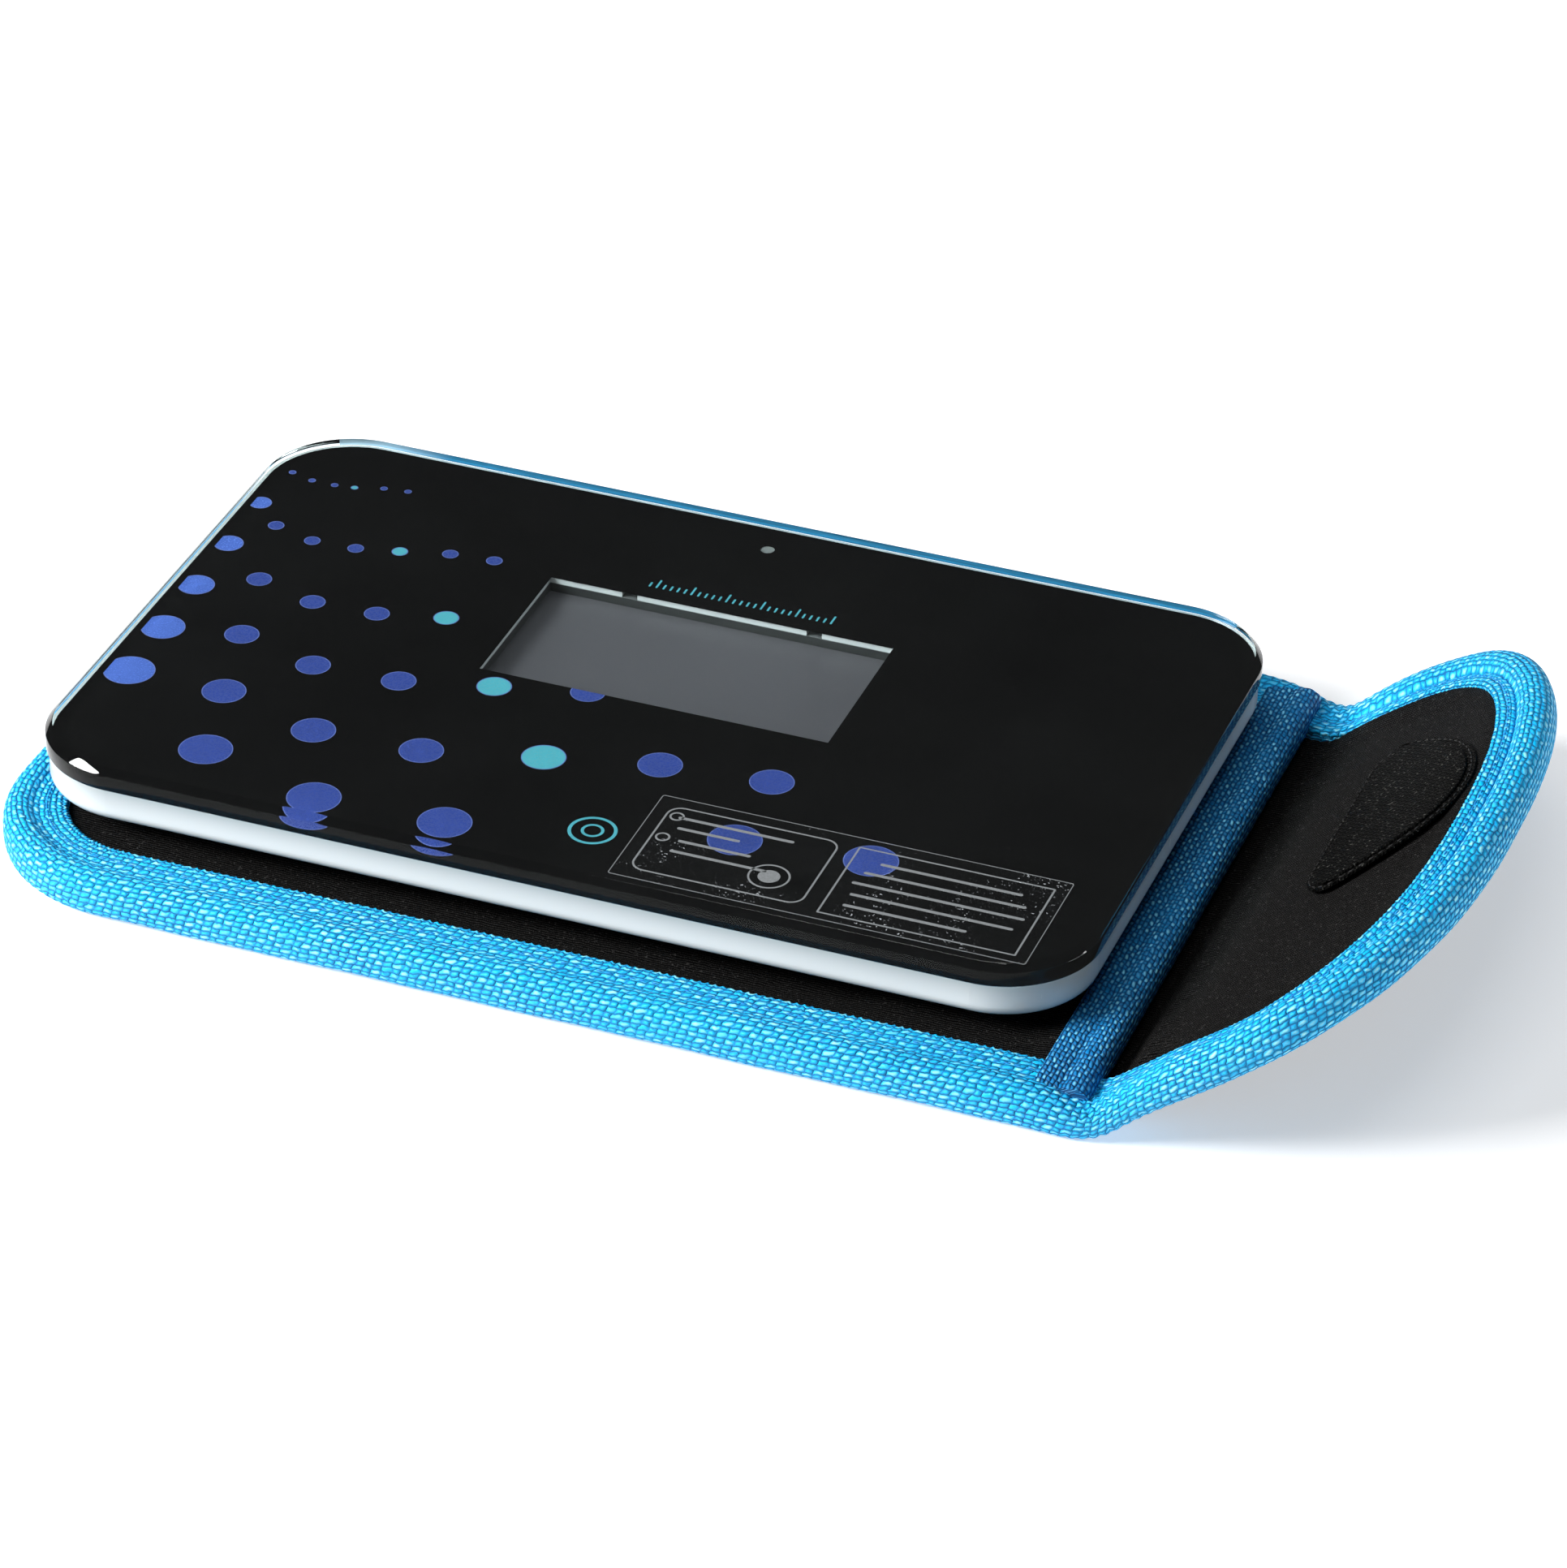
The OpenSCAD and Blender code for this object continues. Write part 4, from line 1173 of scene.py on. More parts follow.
@dataclass
class ClearFilm:
    """The clear film on the glass, with two printed frames and plain bars in them."""

    centre: Plan = (57.65, -53.0)
    size: Plan = (84.9, 30.0)
    corner: float = 0.6
    thick: float = 0.06
    ink: float = 0.02 * MM
    frames: tuple[tuple[Plan, Plan, float], ...] = (
        ((35.9, -52.9), (35.4, 23.8), 3.0),
        ((77.3, -53.5), (40.2, 24.6), 0.3),
    )
    edge_line: float = 0.16
    bar: float = 0.8
    bars: tuple[tuple[Plan, float], ...] = (
        ((33.0, -44.6), 24.0),
        ((28.6, -48.2), 13.0),
        ((31.4, -52.4), 15.0),
        ((33.6, -56.2), 20.0),
        ((77.6, -45.6), 29.0),
        ((77.6, -49.5), 33.0),
        ((77.6, -53.5), 35.0),
        ((77.6, -57.5), 33.0),
        ((73.6, -61.5), 25.0),
    )
    bullets: tuple[Plan, ...] = ((20.6, -44.4), (20.6, -52.2))
    coin: Plan = (44.6, -57.6)

    def build(self) -> None:
        """Lay the film on the glass and print on it."""
        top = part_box("glass_platform")[1].z
        low, high = top + 0.01 * MM, top + self.thick * MM
        bm = bmesh.new()
        rounded_slab(
            bm,
            (self.centre[0] * MM, self.centre[1] * MM),
            (self.size[0] * MM, self.size[1] * MM),
            self.corner * MM,
            low,
            high,
            4,
        )
        film = finish_piece("clear_film", bm, FILM)
        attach(film, Body.SCALE.value)
        self.marks(high)

    def marks(self, z: float) -> bpy.types.Object:
        """Print the frames and bars.

        Args:
            z: Height of the film's face.

        Returns:
            The piece.
        """
        bm = bmesh.new()
        low, high = z - self.ink, z + self.ink
        for centre, size, corner in self.frames:
            self.outline(bm, centre, size, corner, low, high)
        edge = (self.size[0] - 0.1, self.size[1] - 0.1)
        self.outline(bm, self.centre, edge, self.corner, low, high, self.edge_line)
        for (x, y), length in self.bars:
            rounded_slab(bm, (x * MM, y * MM), (length * MM, self.bar * MM), 0.35 * MM, low, high, 4)
        for x, y in self.bullets:
            ring(bm, (x * MM, y * MM), 1.5 * MM, 1.1 * MM, low, high)
        coin = (self.coin[0] * MM, self.coin[1] * MM)
        ring(bm, coin, 4.2 * MM, 3.8 * MM, low, high)
        disc(bm, coin, 2.2 * MM, low, high, 32)
        made = finish_piece("film_marks", bm, WHITE_INK)
        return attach(made, Body.SCALE.value)

    def outline(
        self,
        bm: bmesh.types.BMesh,
        centre: Plan,
        size: Plan,
        corner: float,
        low: float,
        high: float,
        line: float = 0.38,
    ) -> None:
        """Add a thin rectangular line by insetting a rounded face and raising its rim.

        Args:
            bm: The mesh that gets it.
            centre: Its middle, in millimetres.
            size: Its length and width, in millimetres.
            corner: Its corners' radius, in millimetres.
            low: Its underside, in metres.
            high: Its top, in metres.
            line: Width of the line, in millimetres.
        """
        part = bmesh.new()
        face = rounded_face(
            part, (centre[0] * MM, centre[1] * MM), (size[0] * MM, size[1] * MM), corner * MM, low, 6
        )
        rim = bmesh.ops.inset_region(
            part, faces=[face], thickness=line * MM, use_boundary=True, use_even_offset=True
        )["faces"]
        bmesh.ops.delete(part, geom=[f for f in part.faces if f not in rim], context="FACES_ONLY")
        grown = bmesh.ops.extrude_face_region(part, geom=list(part.faces))["geom"]
        bmesh.ops.translate(
            part, verts=[g for g in grown if isinstance(g, bmesh.types.BMVert)], vec=(0.0, 0.0, high - low)
        )
        bmesh.ops.recalc_face_normals(part, faces=part.faces)
        join(bm, part)


# ---------------------------------------------------------------------------
# Sleeve
# ---------------------------------------------------------------------------


@dataclass
class SleeveShape:
    """The sleeve's outline and curves, from the frame and the flap's bend."""

    corner: float = 32.0 * MM
    flap_angle: float = math.radians(36.0)
    flap_straight: float = 40.0 * MM
    curl_radius: float = 80.0 * MM
    side_share: float = 0.3
    skew: float = 4.0 * MM
    crush_depth: float = 1.5 * MM
    crush_reach: float = 9.0 * MM
    fullness: float = 2.35
    neoprene: float = 3.2 * MM
    binding: float = 13.0 * MM

    def __post_init__(self) -> None:
        """Read the pocket's and the flap's limits from the frame."""
        low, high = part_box("pocket_binding")
        self.left, self.front, self.back = low.x, low.y, high.y
        self.middle = (low.y + high.y) / 2
        self.half = (high.y - low.y) / 2
        self.pocket_mid = (high.z + low.z) / 2
        self.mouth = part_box("mouth_binding")[1].x
        joint = next(j for j in frame["joints"] if j["name"] == "flap_fold")
        self.hinge = Vector(joint["pos_m"])
        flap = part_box("flap_binding")
        self.flap_half = (flap[1].y - flap[0].y) / 2
        self.reach = flap[1].x - self.hinge.x

    def flap_height(self, x: float, y: float) -> tuple[float, float]:
        """Return the flap's centre height and its slope; its fold runs a little askew.

        Args:
            x: Place along the frame, in metres.
            y: Place across the frame, in metres.

        Returns:
            The height in metres and the slope in radians.
        """
        out = x - self.hinge.x - self.skew * (y - self.middle) / self.half
        if out <= 0:
            return self.hinge.z, 0.0
        flat = self.flap_straight * math.cos(self.flap_angle)
        if out <= flat:
            return self.hinge.z + out * math.tan(self.flap_angle), self.flap_angle
        sine = math.sin(self.flap_angle) - (out - flat) / self.curl_radius
        slope = math.asin(max(-1.0, min(1.0, sine)))
        rise = self.flap_straight * math.sin(self.flap_angle)
        rise += self.curl_radius * (math.cos(slope) - math.cos(self.flap_angle))
        return self.hinge.z + rise, slope

    def sink(self, x: float) -> float:
        """Return how far the crushed fold lies under the flap's own line, in metres."""
        off = (x - self.hinge.x) / self.crush_reach
        return self.crush_depth * math.exp(-off * off)

    def flap_end(self, y: float, inset: float) -> float:
        """Find how far the flap reaches at a place across it.

        Args:
            y: Place across the frame, in metres.
            inset: How far inside the outline, in metres.

        Returns:
            The x of the flap's end there, in metres.
        """
        straight = self.side_share * self.reach
        a = self.reach - straight - inset
        b = self.flap_half - inset
        share = min(1.0, abs(y - self.middle) / max(b, 1e-6))
        return self.hinge.x + straight + a * (1.0 - share**self.fullness) ** (1.0 / self.fullness)

    def closed_end(self, y: float, inset: float) -> float:
        """Find where the pocket's closed end lies at a place across it.

        Args:
            y: Place across the frame, in metres.
            inset: How far inside the outline, in metres.

        Returns:
            The x of the closed end there, in metres.
        """
        r = self.corner - inset
        over = abs(y - self.middle) - (self.half - self.corner)
        if over <= 0:
            return self.left + inset
        return self.left + self.corner - math.sqrt(max(0.0, r * r - over * over))


@dataclass
class Rim:
    """Stations along the sleeve's whole edge: round the closed end, along the sides and round the flap."""

    shape: SleeveShape
    step: float = 0.52 * MM
    smooth: float = 3.4 * MM
    pinch: float = 0.3
    pinch_reach: float = 9.0 * MM
    change_reach: float = 20.0 * MM
    fold_gap: float = 6.0 * MM

    def __post_init__(self) -> None:
        """Work out places, normals and inward directions at even steps."""
        points, normals = self.rough_loop()
        ring_points = np.vstack([points, points[:1]])
        length = np.concatenate([[0.0], np.cumsum(np.linalg.norm(np.diff(ring_points, axis=0), axis=1))])
        self.count = int(length[-1] / self.step)
        self.along = np.linspace(0.0, length[-1], self.count + 1)
        ring_normals = np.vstack([normals, normals[:1]])
        place = np.stack([np.interp(self.along[:-1], length, ring_points[:, k]) for k in range(3)], 1)
        normal = np.stack([np.interp(self.along[:-1], length, ring_normals[:, k]) for k in range(3)], 1)
        self.place = self.soften(place)
        normal = self.soften(normal)
        self.normal = normal / np.linalg.norm(normal, axis=1)[:, None]
        tangent = np.roll(self.place, -1, 0) - np.roll(self.place, 1, 0)
        inward = np.cross(self.normal, tangent)
        self.inward = inward / np.linalg.norm(inward, axis=1)[:, None]
        fold = (self.place[:, 0] - self.shape.hinge.x) / self.pinch_reach
        self.fold = np.exp(-fold * fold)
        run = np.clip((self.place[:, 0] - self.shape.hinge.x) / self.change_reach + 0.5, 0.0, 1.0)
        self.on_flap = run * run * (3.0 - 2.0 * run)

    def rough_loop(self) -> tuple[np.ndarray, np.ndarray]:
        """Return the unsmoothed outline and its normals, from the closed end by way of the front.

        Returns:
            Points and unit normals, one row each.
        """
        s = self.shape
        half_loop: list[tuple[float, float]] = [(s.left, s.middle)]
        arc = np.linspace(0.0, math.pi / 2, 40)
        centre_x, centre_y = s.left + s.corner, s.half - s.corner
        half_loop += [(s.left, s.middle - y) for y in np.linspace(0.0, centre_y, 60)[1:]]
        half_loop += [
            (centre_x - s.corner * math.cos(a), s.middle - centre_y - s.corner * math.sin(a))
            for a in arc[1:]
        ]
        half_loop += [(x, s.front) for x in np.linspace(centre_x, s.hinge.x - self.fold_gap, 160)[1:]]
        straight = s.hinge.x + s.side_share * s.reach
        half_loop += [(x, s.middle - s.flap_half) for x in np.linspace(s.hinge.x, straight, 20)]
        a = s.reach - s.side_share * s.reach
        power = 2.0 / s.fullness
        half_loop += [
            (straight + a * math.sin(t) ** power, s.middle - s.flap_half * max(0.0, math.cos(t)) ** power)
            for t in np.linspace(0.0, math.pi / 2, 160)[1:]
        ]
        whole = half_loop + [(x, 2 * s.middle - y) for x, y in reversed(half_loop[1:-1])]
        points, normals = [], []
        for x, y in whole:
            on_flap = x > s.hinge.x
            z, slope = s.flap_height(x, y) if on_flap else (s.pocket_mid, 0.0)
            points.append((x, y, z))
            normals.append((-math.sin(slope), 0.0, math.cos(slope)))
        return np.array(points), np.array(normals)

    def soften(self, rows: np.ndarray) -> np.ndarray:
        """Smooth rows along the loop with a bell of the smoothing length.

        Args:
            rows: One row for each station.

        Returns:
            The smoothed rows.
        """
        reach = int(3 * self.smooth / self.step)
        offsets = np.arange(-reach, reach + 1)
        weights = np.exp(-0.5 * (offsets * self.step / self.smooth) ** 2)
        weights /= weights.sum()
        return sum(w * np.roll(rows, -o, 0) for o, w in zip(offsets, weights))


def half_section(
    roll_width: float, skin: float, roll: float, panel: float, width: float
) -> list[tuple[float, float]]:
    """Draw the upper half of a binding's section, from its inner edge outwards.

    Args:
        roll_width: Width of the round part at the outside.
        skin: Thickness of the tape.
        roll: Half the roll's height.
        panel: Half the height of what the tape encloses.
        width: The tape's width.

    Returns:
        Pairs of distance from the outer edge and height over the middle, in millimetres.
    """
    top = panel + skin
    crease = min(top, roll) - 0.45
    points = [
        (width, panel - 0.7),
        (width, top - 0.45),
        (width - 0.25, top - 0.1),
        (width - 0.8, top),
        (width - 2.0, top + 0.03),
        (width - 3.2, top + 0.03),
        (roll_width + 1.1, top),
        (roll_width + 0.4, top - 0.12),
        (roll_width - 0.1, crease),
    ]
    half = roll_width / 2
    for degrees in (48, 58, 68, 80, 92, 104, 116, 128, 140, 152, 163, 172):
        angle = math.radians(degrees)
        points.append((half * (1 + math.cos(angle)), roll * math.sin(angle) ** 0.72))
    return points


def way_round(section: Sequence[tuple[float, float]]) -> list[float]:
    """Measure the way round a closed section.

    Args:
        section: Its points in millimetres.

    Returns:
        The distance of each point from the first one, in metres, ending with the whole way round.
    """
    around = [0.0]
    closed = [*section, section[0]]
    for (a0, b0), (a1, b1) in zip(closed, closed[1:]):
        around.append(around[-1] + math.hypot(a1 - a0, b1 - b0) * MM)
    return around


@dataclass
class EdgeBinding:
    """The woven tape round the whole sleeve: a roll outside and a flat strip inside."""

    rim: Rim
    roll_width: float = 7.4
    skin: float = 0.9
    pocket_width: float = 13.0
    flap_narrowing: float = 1.5
    pocket_roll: float = 4.8
    flap_roll: float = 4.2
    pocket_panel: float = 3.2
    flap_panel: float = 1.6
    pucker: float = 0.27
    scallop_pitch: float = 1.65
    scallop_start: float = 3.0
    scallop_run: float = 2.6
    scallop_height: float = 0.16
    scallop_depth: float = 0.3

    def section(self, i: int) -> list[tuple[float, float]]:
        """Draw the whole section at a station.

        Args:
            i: The station's number.

        Returns:
            Pairs of distance from the outer edge and height, in millimetres.
        """
        flap = self.rim.on_flap[i]
        roll = self.pocket_roll + (self.flap_roll - self.pocket_roll) * flap
        panel = self.pocket_panel + (self.flap_panel - self.pocket_panel) * flap
        squeeze = 1.0 - self.rim.pinch * self.rim.fold[i]
        width = self.pocket_width - self.flap_narrowing * flap
        upper = half_section(self.roll_width, self.skin, roll, panel, width)
        s = self.rim.along[i] / MM
        breath = 1.0 + 0.02 * math.sin(s / 9.0) + 0.015 * math.sin(s / 3.7 + 1.0)
        both = upper + [(0.0, 0.0)] + [(a, -b) for a, b in reversed(upper)]
        flat = self.flat_squeeze(i)
        return [(a, b * (squeeze * breath if a < self.roll_width - 0.5 else flat)) for a, b in both]

    def flat_squeeze(self, i: int) -> float:
        """Return how far the flat strip is pressed together at a station, near the fold."""
        return 1.0 - 0.3 * self.rim.pinch * self.rim.fold[i]

    def build(self) -> bpy.types.Object:
        """Sweep the section round the rim.

        Returns:
            The binding piece.
        """
        rim = self.rim
        sections = [self.section(i) for i in range(rim.count)]
        points = len(sections[0])

        def corner(i: int, k: int) -> Vector:
            """Place one point of the binding.

            Args:
                i: The station's number.
                k: The point's number in the section.

            Returns:
                The point, in metres.
            """
            a, b = sections[i][k]
            s = rim.along[i] / MM
            wrinkle = 0.0
            if a < self.roll_width:
                fine = math.sin(s / 0.75 + a * 0.8 + b * 0.5)
                wrinkle = self.pucker * fine * (0.4 + 1.4 * self.crush(i))
            base = Vector(rim.place[i]) - UP * rim.shape.sink(rim.place[i][0])
            scallop = math.sin(2 * math.pi * s / self.scallop_pitch)
            beyond = a - self.roll_width - self.scallop_start
            if beyond > 0:
                wrinkle = self.scallop_height * scallop
                a += self.scallop_depth * scallop * beyond / self.scallop_run
            lift = b + math.copysign(wrinkle * min(1.0, abs(b) / 2.0), b)
            point = base + Vector(rim.inward[i]) * a * MM + Vector(rim.normal[i]) * lift * MM
            point.z = max(point.z, TABLE_GAP)
            return point

        bm = Sweep(corner, rim.count, points, True, list(rim.along), way_round(sections[0])).build()
        made = finish_piece("edge_binding", bm, BINDING, 70.0)
        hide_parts("pocket_binding", "flap_binding")
        return blend_at_fold(made, rim.shape)

    def crush(self, i: int) -> float:
        """Say how strongly the tape puckers: most at the closed corners and the fold.

        Args:
            i: The station's number.

        Returns:
            A share from 0 to 1.
        """
        x, y, _ = self.rim.place[i]
        s = self.rim.shape
        corner = max(0.0, 1.0 - abs(x - s.left - 12.0 * MM) / (26.0 * MM))
        side = min(1.0, abs(y - s.middle) / s.half)
        return min(1.0, corner * side + self.rim.fold[i])


def blend_at_fold(made: bpy.types.Object, shape: SleeveShape) -> bpy.types.Object:
    """Bake a piece's placement into its mesh.

    Args:
        made: The piece.
        shape: Not used.

    Returns:
        The piece.
    """
    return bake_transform(made)


def stitch_row(
    name: str,
    places: Sequence[tuple[Vector, Vector, Vector]],
    length: float,
    width: float,
    finish: Finish,
) -> bpy.types.Object:
    """Sew a row of short, round stitches.

    Args:
        name: The piece's name.
        places: Each stitch's middle, its direction and the cloth's normal.
        length: Length of a stitch.
        width: Its thickness.
        finish: The thread.

    Returns:
        The row as one piece.
    """
    bm = bmesh.new()
    for middle, ahead, normal in places:
        side = normal.cross(ahead).normalized()
        turn = Matrix((ahead.normalized(), side, normal)).transposed().to_4x4()
        shape = Matrix.Diagonal((length / 2, width / 2, width / 2, 1.0))
        place = Matrix.Translation(middle) @ turn @ shape
        bmesh.ops.create_icosphere(bm, subdivisions=1, radius=1.0, matrix=place)
    return finish_piece(name, bm, finish, 80.0)


@dataclass
class EdgeStitches:
    """The row of thread that holds the binding's flat strip down."""

    rim: Rim
    tape: EdgeBinding
    pitch: float = 2.3
    off: float = 1.5
    length: float = 1.7 * MM
    width: float = 0.42 * MM

    def build(self) -> bpy.types.Object:
        """Sew the row beside the binding's crease.

        Returns:
            The stitches.
        """
        rim, tape = self.rim, self.tape
        every = self.pitch * MM / rim.step
        places = []
        for n in range(int(rim.count / every)):
            i = int(n * every)
            flap = rim.on_flap[i]
            height = tape.pocket_panel + (tape.flap_panel - tape.pocket_panel) * flap + tape.skin + 0.02
            height *= tape.flat_squeeze(i)
            base = Vector(rim.place[i]) - UP * rim.shape.sink(rim.place[i][0])
            middle = base + Vector(rim.inward[i]) * (tape.roll_width + self.off) * MM
            ahead = Vector(rim.place[(i + 1) % rim.count] - rim.place[i - 1])
            places.append((middle + Vector(rim.normal[i]) * height * MM, ahead, Vector(rim.normal[i])))
        made = stitch_row("edge_stitches", places, self.length, self.width, THREAD)
        return blend_at_fold(made, rim.shape)


@dataclass
class MouthBinding:
    """The woven tape along the front panel's mouth."""

    shape: SleeveShape
    step: float = 0.55 * MM
    tuck: float = 4.0 * MM
    roll_width: float = 6.4
    skin: float = 0.9
    roll: float = 3.1
    panel: float = 1.6
    wave: float = 0.2

    def build(self) -> bpy.types.Object:
        """Sweep the tape across the pocket.

        Returns:
            The binding piece.
        """
        low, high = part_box("mouth_binding")
        middle = (low.z + high.z) / 2
        upper = half_section(self.roll_width, self.skin, self.roll, self.panel, (high.x - low.x) / MM)
        section = upper + [(0.0, 0.0)] + [(a, -b) for a, b in reversed(upper)]
        count = int((2 * self.shape.half - 2 * self.tuck) / self.step)
        along = [self.step * i for i in range(count)]
        start = self.shape.middle - along[-1] / 2

        def corner(i: int, k: int) -> Vector:
            """Place one point of the tape.

            Args:
                i: The station's number.
                k: The point's number in the section.

            Returns:
                The point, in metres.
            """
            a, b = section[k]
            s = along[i] / MM
            wave = self.wave * math.sin(s / 1.9 + a * 0.9 + b) if a < self.roll_width else 0.0
            grow = 1.0 + 0.04 * math.sin(s / 7.0)
            height = b * grow + math.copysign(wave, b) * min(1, abs(b))
            return Vector((high.x - a * MM, start + along[i], middle + height * MM))

        bm = Sweep(corner, count, len(section), False, along, way_round(section)).build()
        made = finish_piece("mouth_tape", bm, SHADED_MOUTH_TAPE, 70.0)
        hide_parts("mouth_binding")
        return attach(made, Body.SLEEVE.value)


@dataclass
class NeoprenePanels:
    """The sleeve's two neoprene panels; the back one runs on into the flap."""

    shape: SleeveShape
    inset: float = 5.5 * MM
    cell: float = 2.4 * MM
    sag: float = 1.1 * MM
    foot_reach: float = 16.0 * MM
    seam_margin: float = 1.0 * MM
    mouth_inset: float = 5.0 * MM
    ripple: float = 0.12 * MM
    bend: float = 7.0 * MM
    flat_reach: float = 4.0 * MM
    lift: float = 0.05 * MM

    def panel(
        self,
        name: str,
        node_names: Sequence[str],
        ends: Callable[[float], tuple[float, float]],
        surface: Callable[[float, float], Vector],
        half: float,
        held: Callable[[Vector], bool],
    ) -> bpy.types.Object:
        """Build one panel from a grid laid between two ends.

        Args:
            name: The piece's name.
            node_names: The CAD nodes it stands for.
            ends: Gives the panel's first and last x at a place across it.
            surface: Gives the middle surface's point at a place in plan.
            half: Half the panel's width.
            held: Says where the panel is sewn down or lies on something.

        Returns:
            The panel, as thick as the neoprene.
        """
        s = self.shape
        first, last = ends(s.middle)
        columns = int((last - first) / self.cell)
        rows = int(2 * half / self.cell)
        bm = bmesh.new()
        bmesh.ops.create_grid(bm, x_segments=columns, y_segments=rows, size=0.5)
        for vert in bm.verts:
            y = s.middle + 2 * half * vert.co.y
            start, end = ends(y)
            x = start + (end - start) * (vert.co.x + 0.5)
            vert.co = surface(x, y)
        made = finish_piece(name, bm, NEOPRENE, 60.0)
        settle(made, held, self.sag)
        thick = made.modifiers.new("foam", "SOLIDIFY")
        thick.thickness = s.neoprene
        thick.offset = 0.0
        thick.use_even_offset = True
        apply_modifiers(made)
        for vert in made.data.vertices:
            vert.co.z = max(vert.co.z, TABLE_GAP)
        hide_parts(*node_names)
        return made

    def front(self) -> bpy.types.Object:
        """Build the pocket's front panel, which ripples a little between its edges.

        Returns:
            The panel.
        """
        s = self.shape
        low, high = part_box("sleeve_front_panel")
        middle = (low.z + high.z) / 2

        def surface(x: float, y: float) -> Vector:
            """Return a point of the panel's middle surface."""
            ripple = self.ripple * math.sin(x / (17.0 * MM)) * math.sin(y / (13.0 * MM))
            return Vector((x, y, middle - 0.15 * MM + ripple))

        feet = [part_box(f"foot_pad_{k}") for k in (1, 2, 3, 4)]
        centres = [(f[0] + f[1]) / 2 for f in feet]

        def on_foot_or_seam(point: Vector) -> bool:
            """Say whether a foot or the binding holds the panel here.

            Args:
                point: A point of the panel.

            Returns:
                Whether it is held.
            """
            seam = s.binding + self.seam_margin
            edge = abs(point.y - s.middle) > s.half - seam or point.x > s.mouth - seam
            edge = edge or point.x < s.closed_end(point.y, seam)
            near = [math.hypot(point.x - c.x, point.y - c.y) < self.foot_reach for c in centres]
            return edge or any(near)

        made = self.panel(
            "front_neoprene",
            ["sleeve_front_panel"],
            lambda y: (s.closed_end(y, self.inset), s.mouth - self.mouth_inset),
            surface,
            s.half - self.inset,
            on_foot_or_seam,
        )
        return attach(made, Body.SLEEVE.value)

    def back(self) -> bpy.types.Object:
        """Build the back panel and the flap as one sheet of neoprene.

        Returns:
            The sheet.
        """
        s = self.shape
        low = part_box("sleeve_back_panel")[0].z + s.neoprene / 2 + self.lift
        bend = self.bend

        def surface(x: float, y: float) -> Vector:
            """Find a point of the sheet's middle surface.

            Args:
                x: Place along the frame, in metres.
                y: Place across the frame, in metres.

            Returns:
                The point.
            """
            z, _ = s.flap_height(x, y)
            share = max(0.0, min(1.0, (x - s.hinge.x + bend) / (2 * bend)))
            share = share * share * (3 - 2 * share)
            flap_z = z - (s.hinge.z - low) * (1 - share) - s.sink(x)
            return Vector((x, y, low if x < s.hinge.x - bend else max(low, flap_z)))

        def lying_or_sewn(point: Vector) -> bool:
            """Say whether the sheet lies on the table or is sewn into the binding here.

            Args:
                point: A point of the sheet.

            Returns:
                Whether it is held.
            """
            seam = s.binding
            if point.x < s.hinge.x + self.flat_reach or abs(point.y - s.middle) > s.flap_half - seam:
                return True
            return point.x > s.flap_end(point.y, seam)

        made = self.panel(
            "back_neoprene",
            ["sleeve_back_panel", "flap_panel"],
            lambda y: (s.closed_end(y, self.inset), s.flap_end(y, self.inset)),
            surface,
            s.flap_half - self.inset,
            lying_or_sewn,
        )
        return blend_at_fold(made, s)

    def build(self) -> None:
        """Build both panels."""
        self.front()
        self.back()


def settle(made: bpy.types.Object, held: Callable[[Vector], bool], cap: float, frames: int = 20) -> None:
    """Let a sheet sag as cloth where it isn't held, and keep the shape.

    Args:
        made: The sheet, before it gets its thickness.
        held: Says whether a point is sewn down or lies on something.
        cap: How far a point may move, in metres.
        frames: Length of the simulation.
    """
    rest = [vert.co.copy() for vert in made.data.vertices]
    group = made.vertex_groups.new(name="held")
    group.add([k for k, point in enumerate(rest) if held(point)], 1.0, "REPLACE")
    cloth = made.modifiers.new("cloth", "CLOTH")
    cloth.settings.quality = 6
    cloth.settings.mass = 0.4
    cloth.settings.tension_stiffness = 40.0
    cloth.settings.compression_stiffness = 40.0
    cloth.settings.bending_stiffness = 4.0
    cloth.settings.vertex_group_mass = "held"
    cloth.collision_settings.use_collision = False
    cloth.point_cache.frame_start, cloth.point_cache.frame_end = 1, frames
    scene = bpy.context.scene
    for step in range(1, frames + 1):
        scene.frame_set(step)
    graph = bpy.context.evaluated_depsgraph_get()
    moved = [vert.co.copy() for vert in made.evaluated_get(graph).data.vertices]
    made.modifiers.clear()
    made.vertex_groups.clear()
    scene.frame_set(1)
    furthest = 0.0
    for vert, start, end in zip(made.data.vertices, rest, moved):
        shift = end - start
        shift.z = max(shift.z, min(0.0, LOWEST_MIDDLE - start.z))
        furthest = max(furthest, shift.length)
        vert.co = start + shift * min(1.0, cap / max(shift.length, 1e-9))
    LOG.info("%s: settled by up to %.2f mm", made.name, min(furthest, cap) / MM)


def apply_modifiers(made: bpy.types.Object) -> None:
    """Bake a piece's modifiers into its mesh.

    Args:
        made: The piece.
    """
    bpy.context.view_layer.update()
    graph = bpy.context.evaluated_depsgraph_get()
    mesh = bpy.data.meshes.new_from_object(made.evaluated_get(graph))
    made.modifiers.clear()
    made.data = mesh


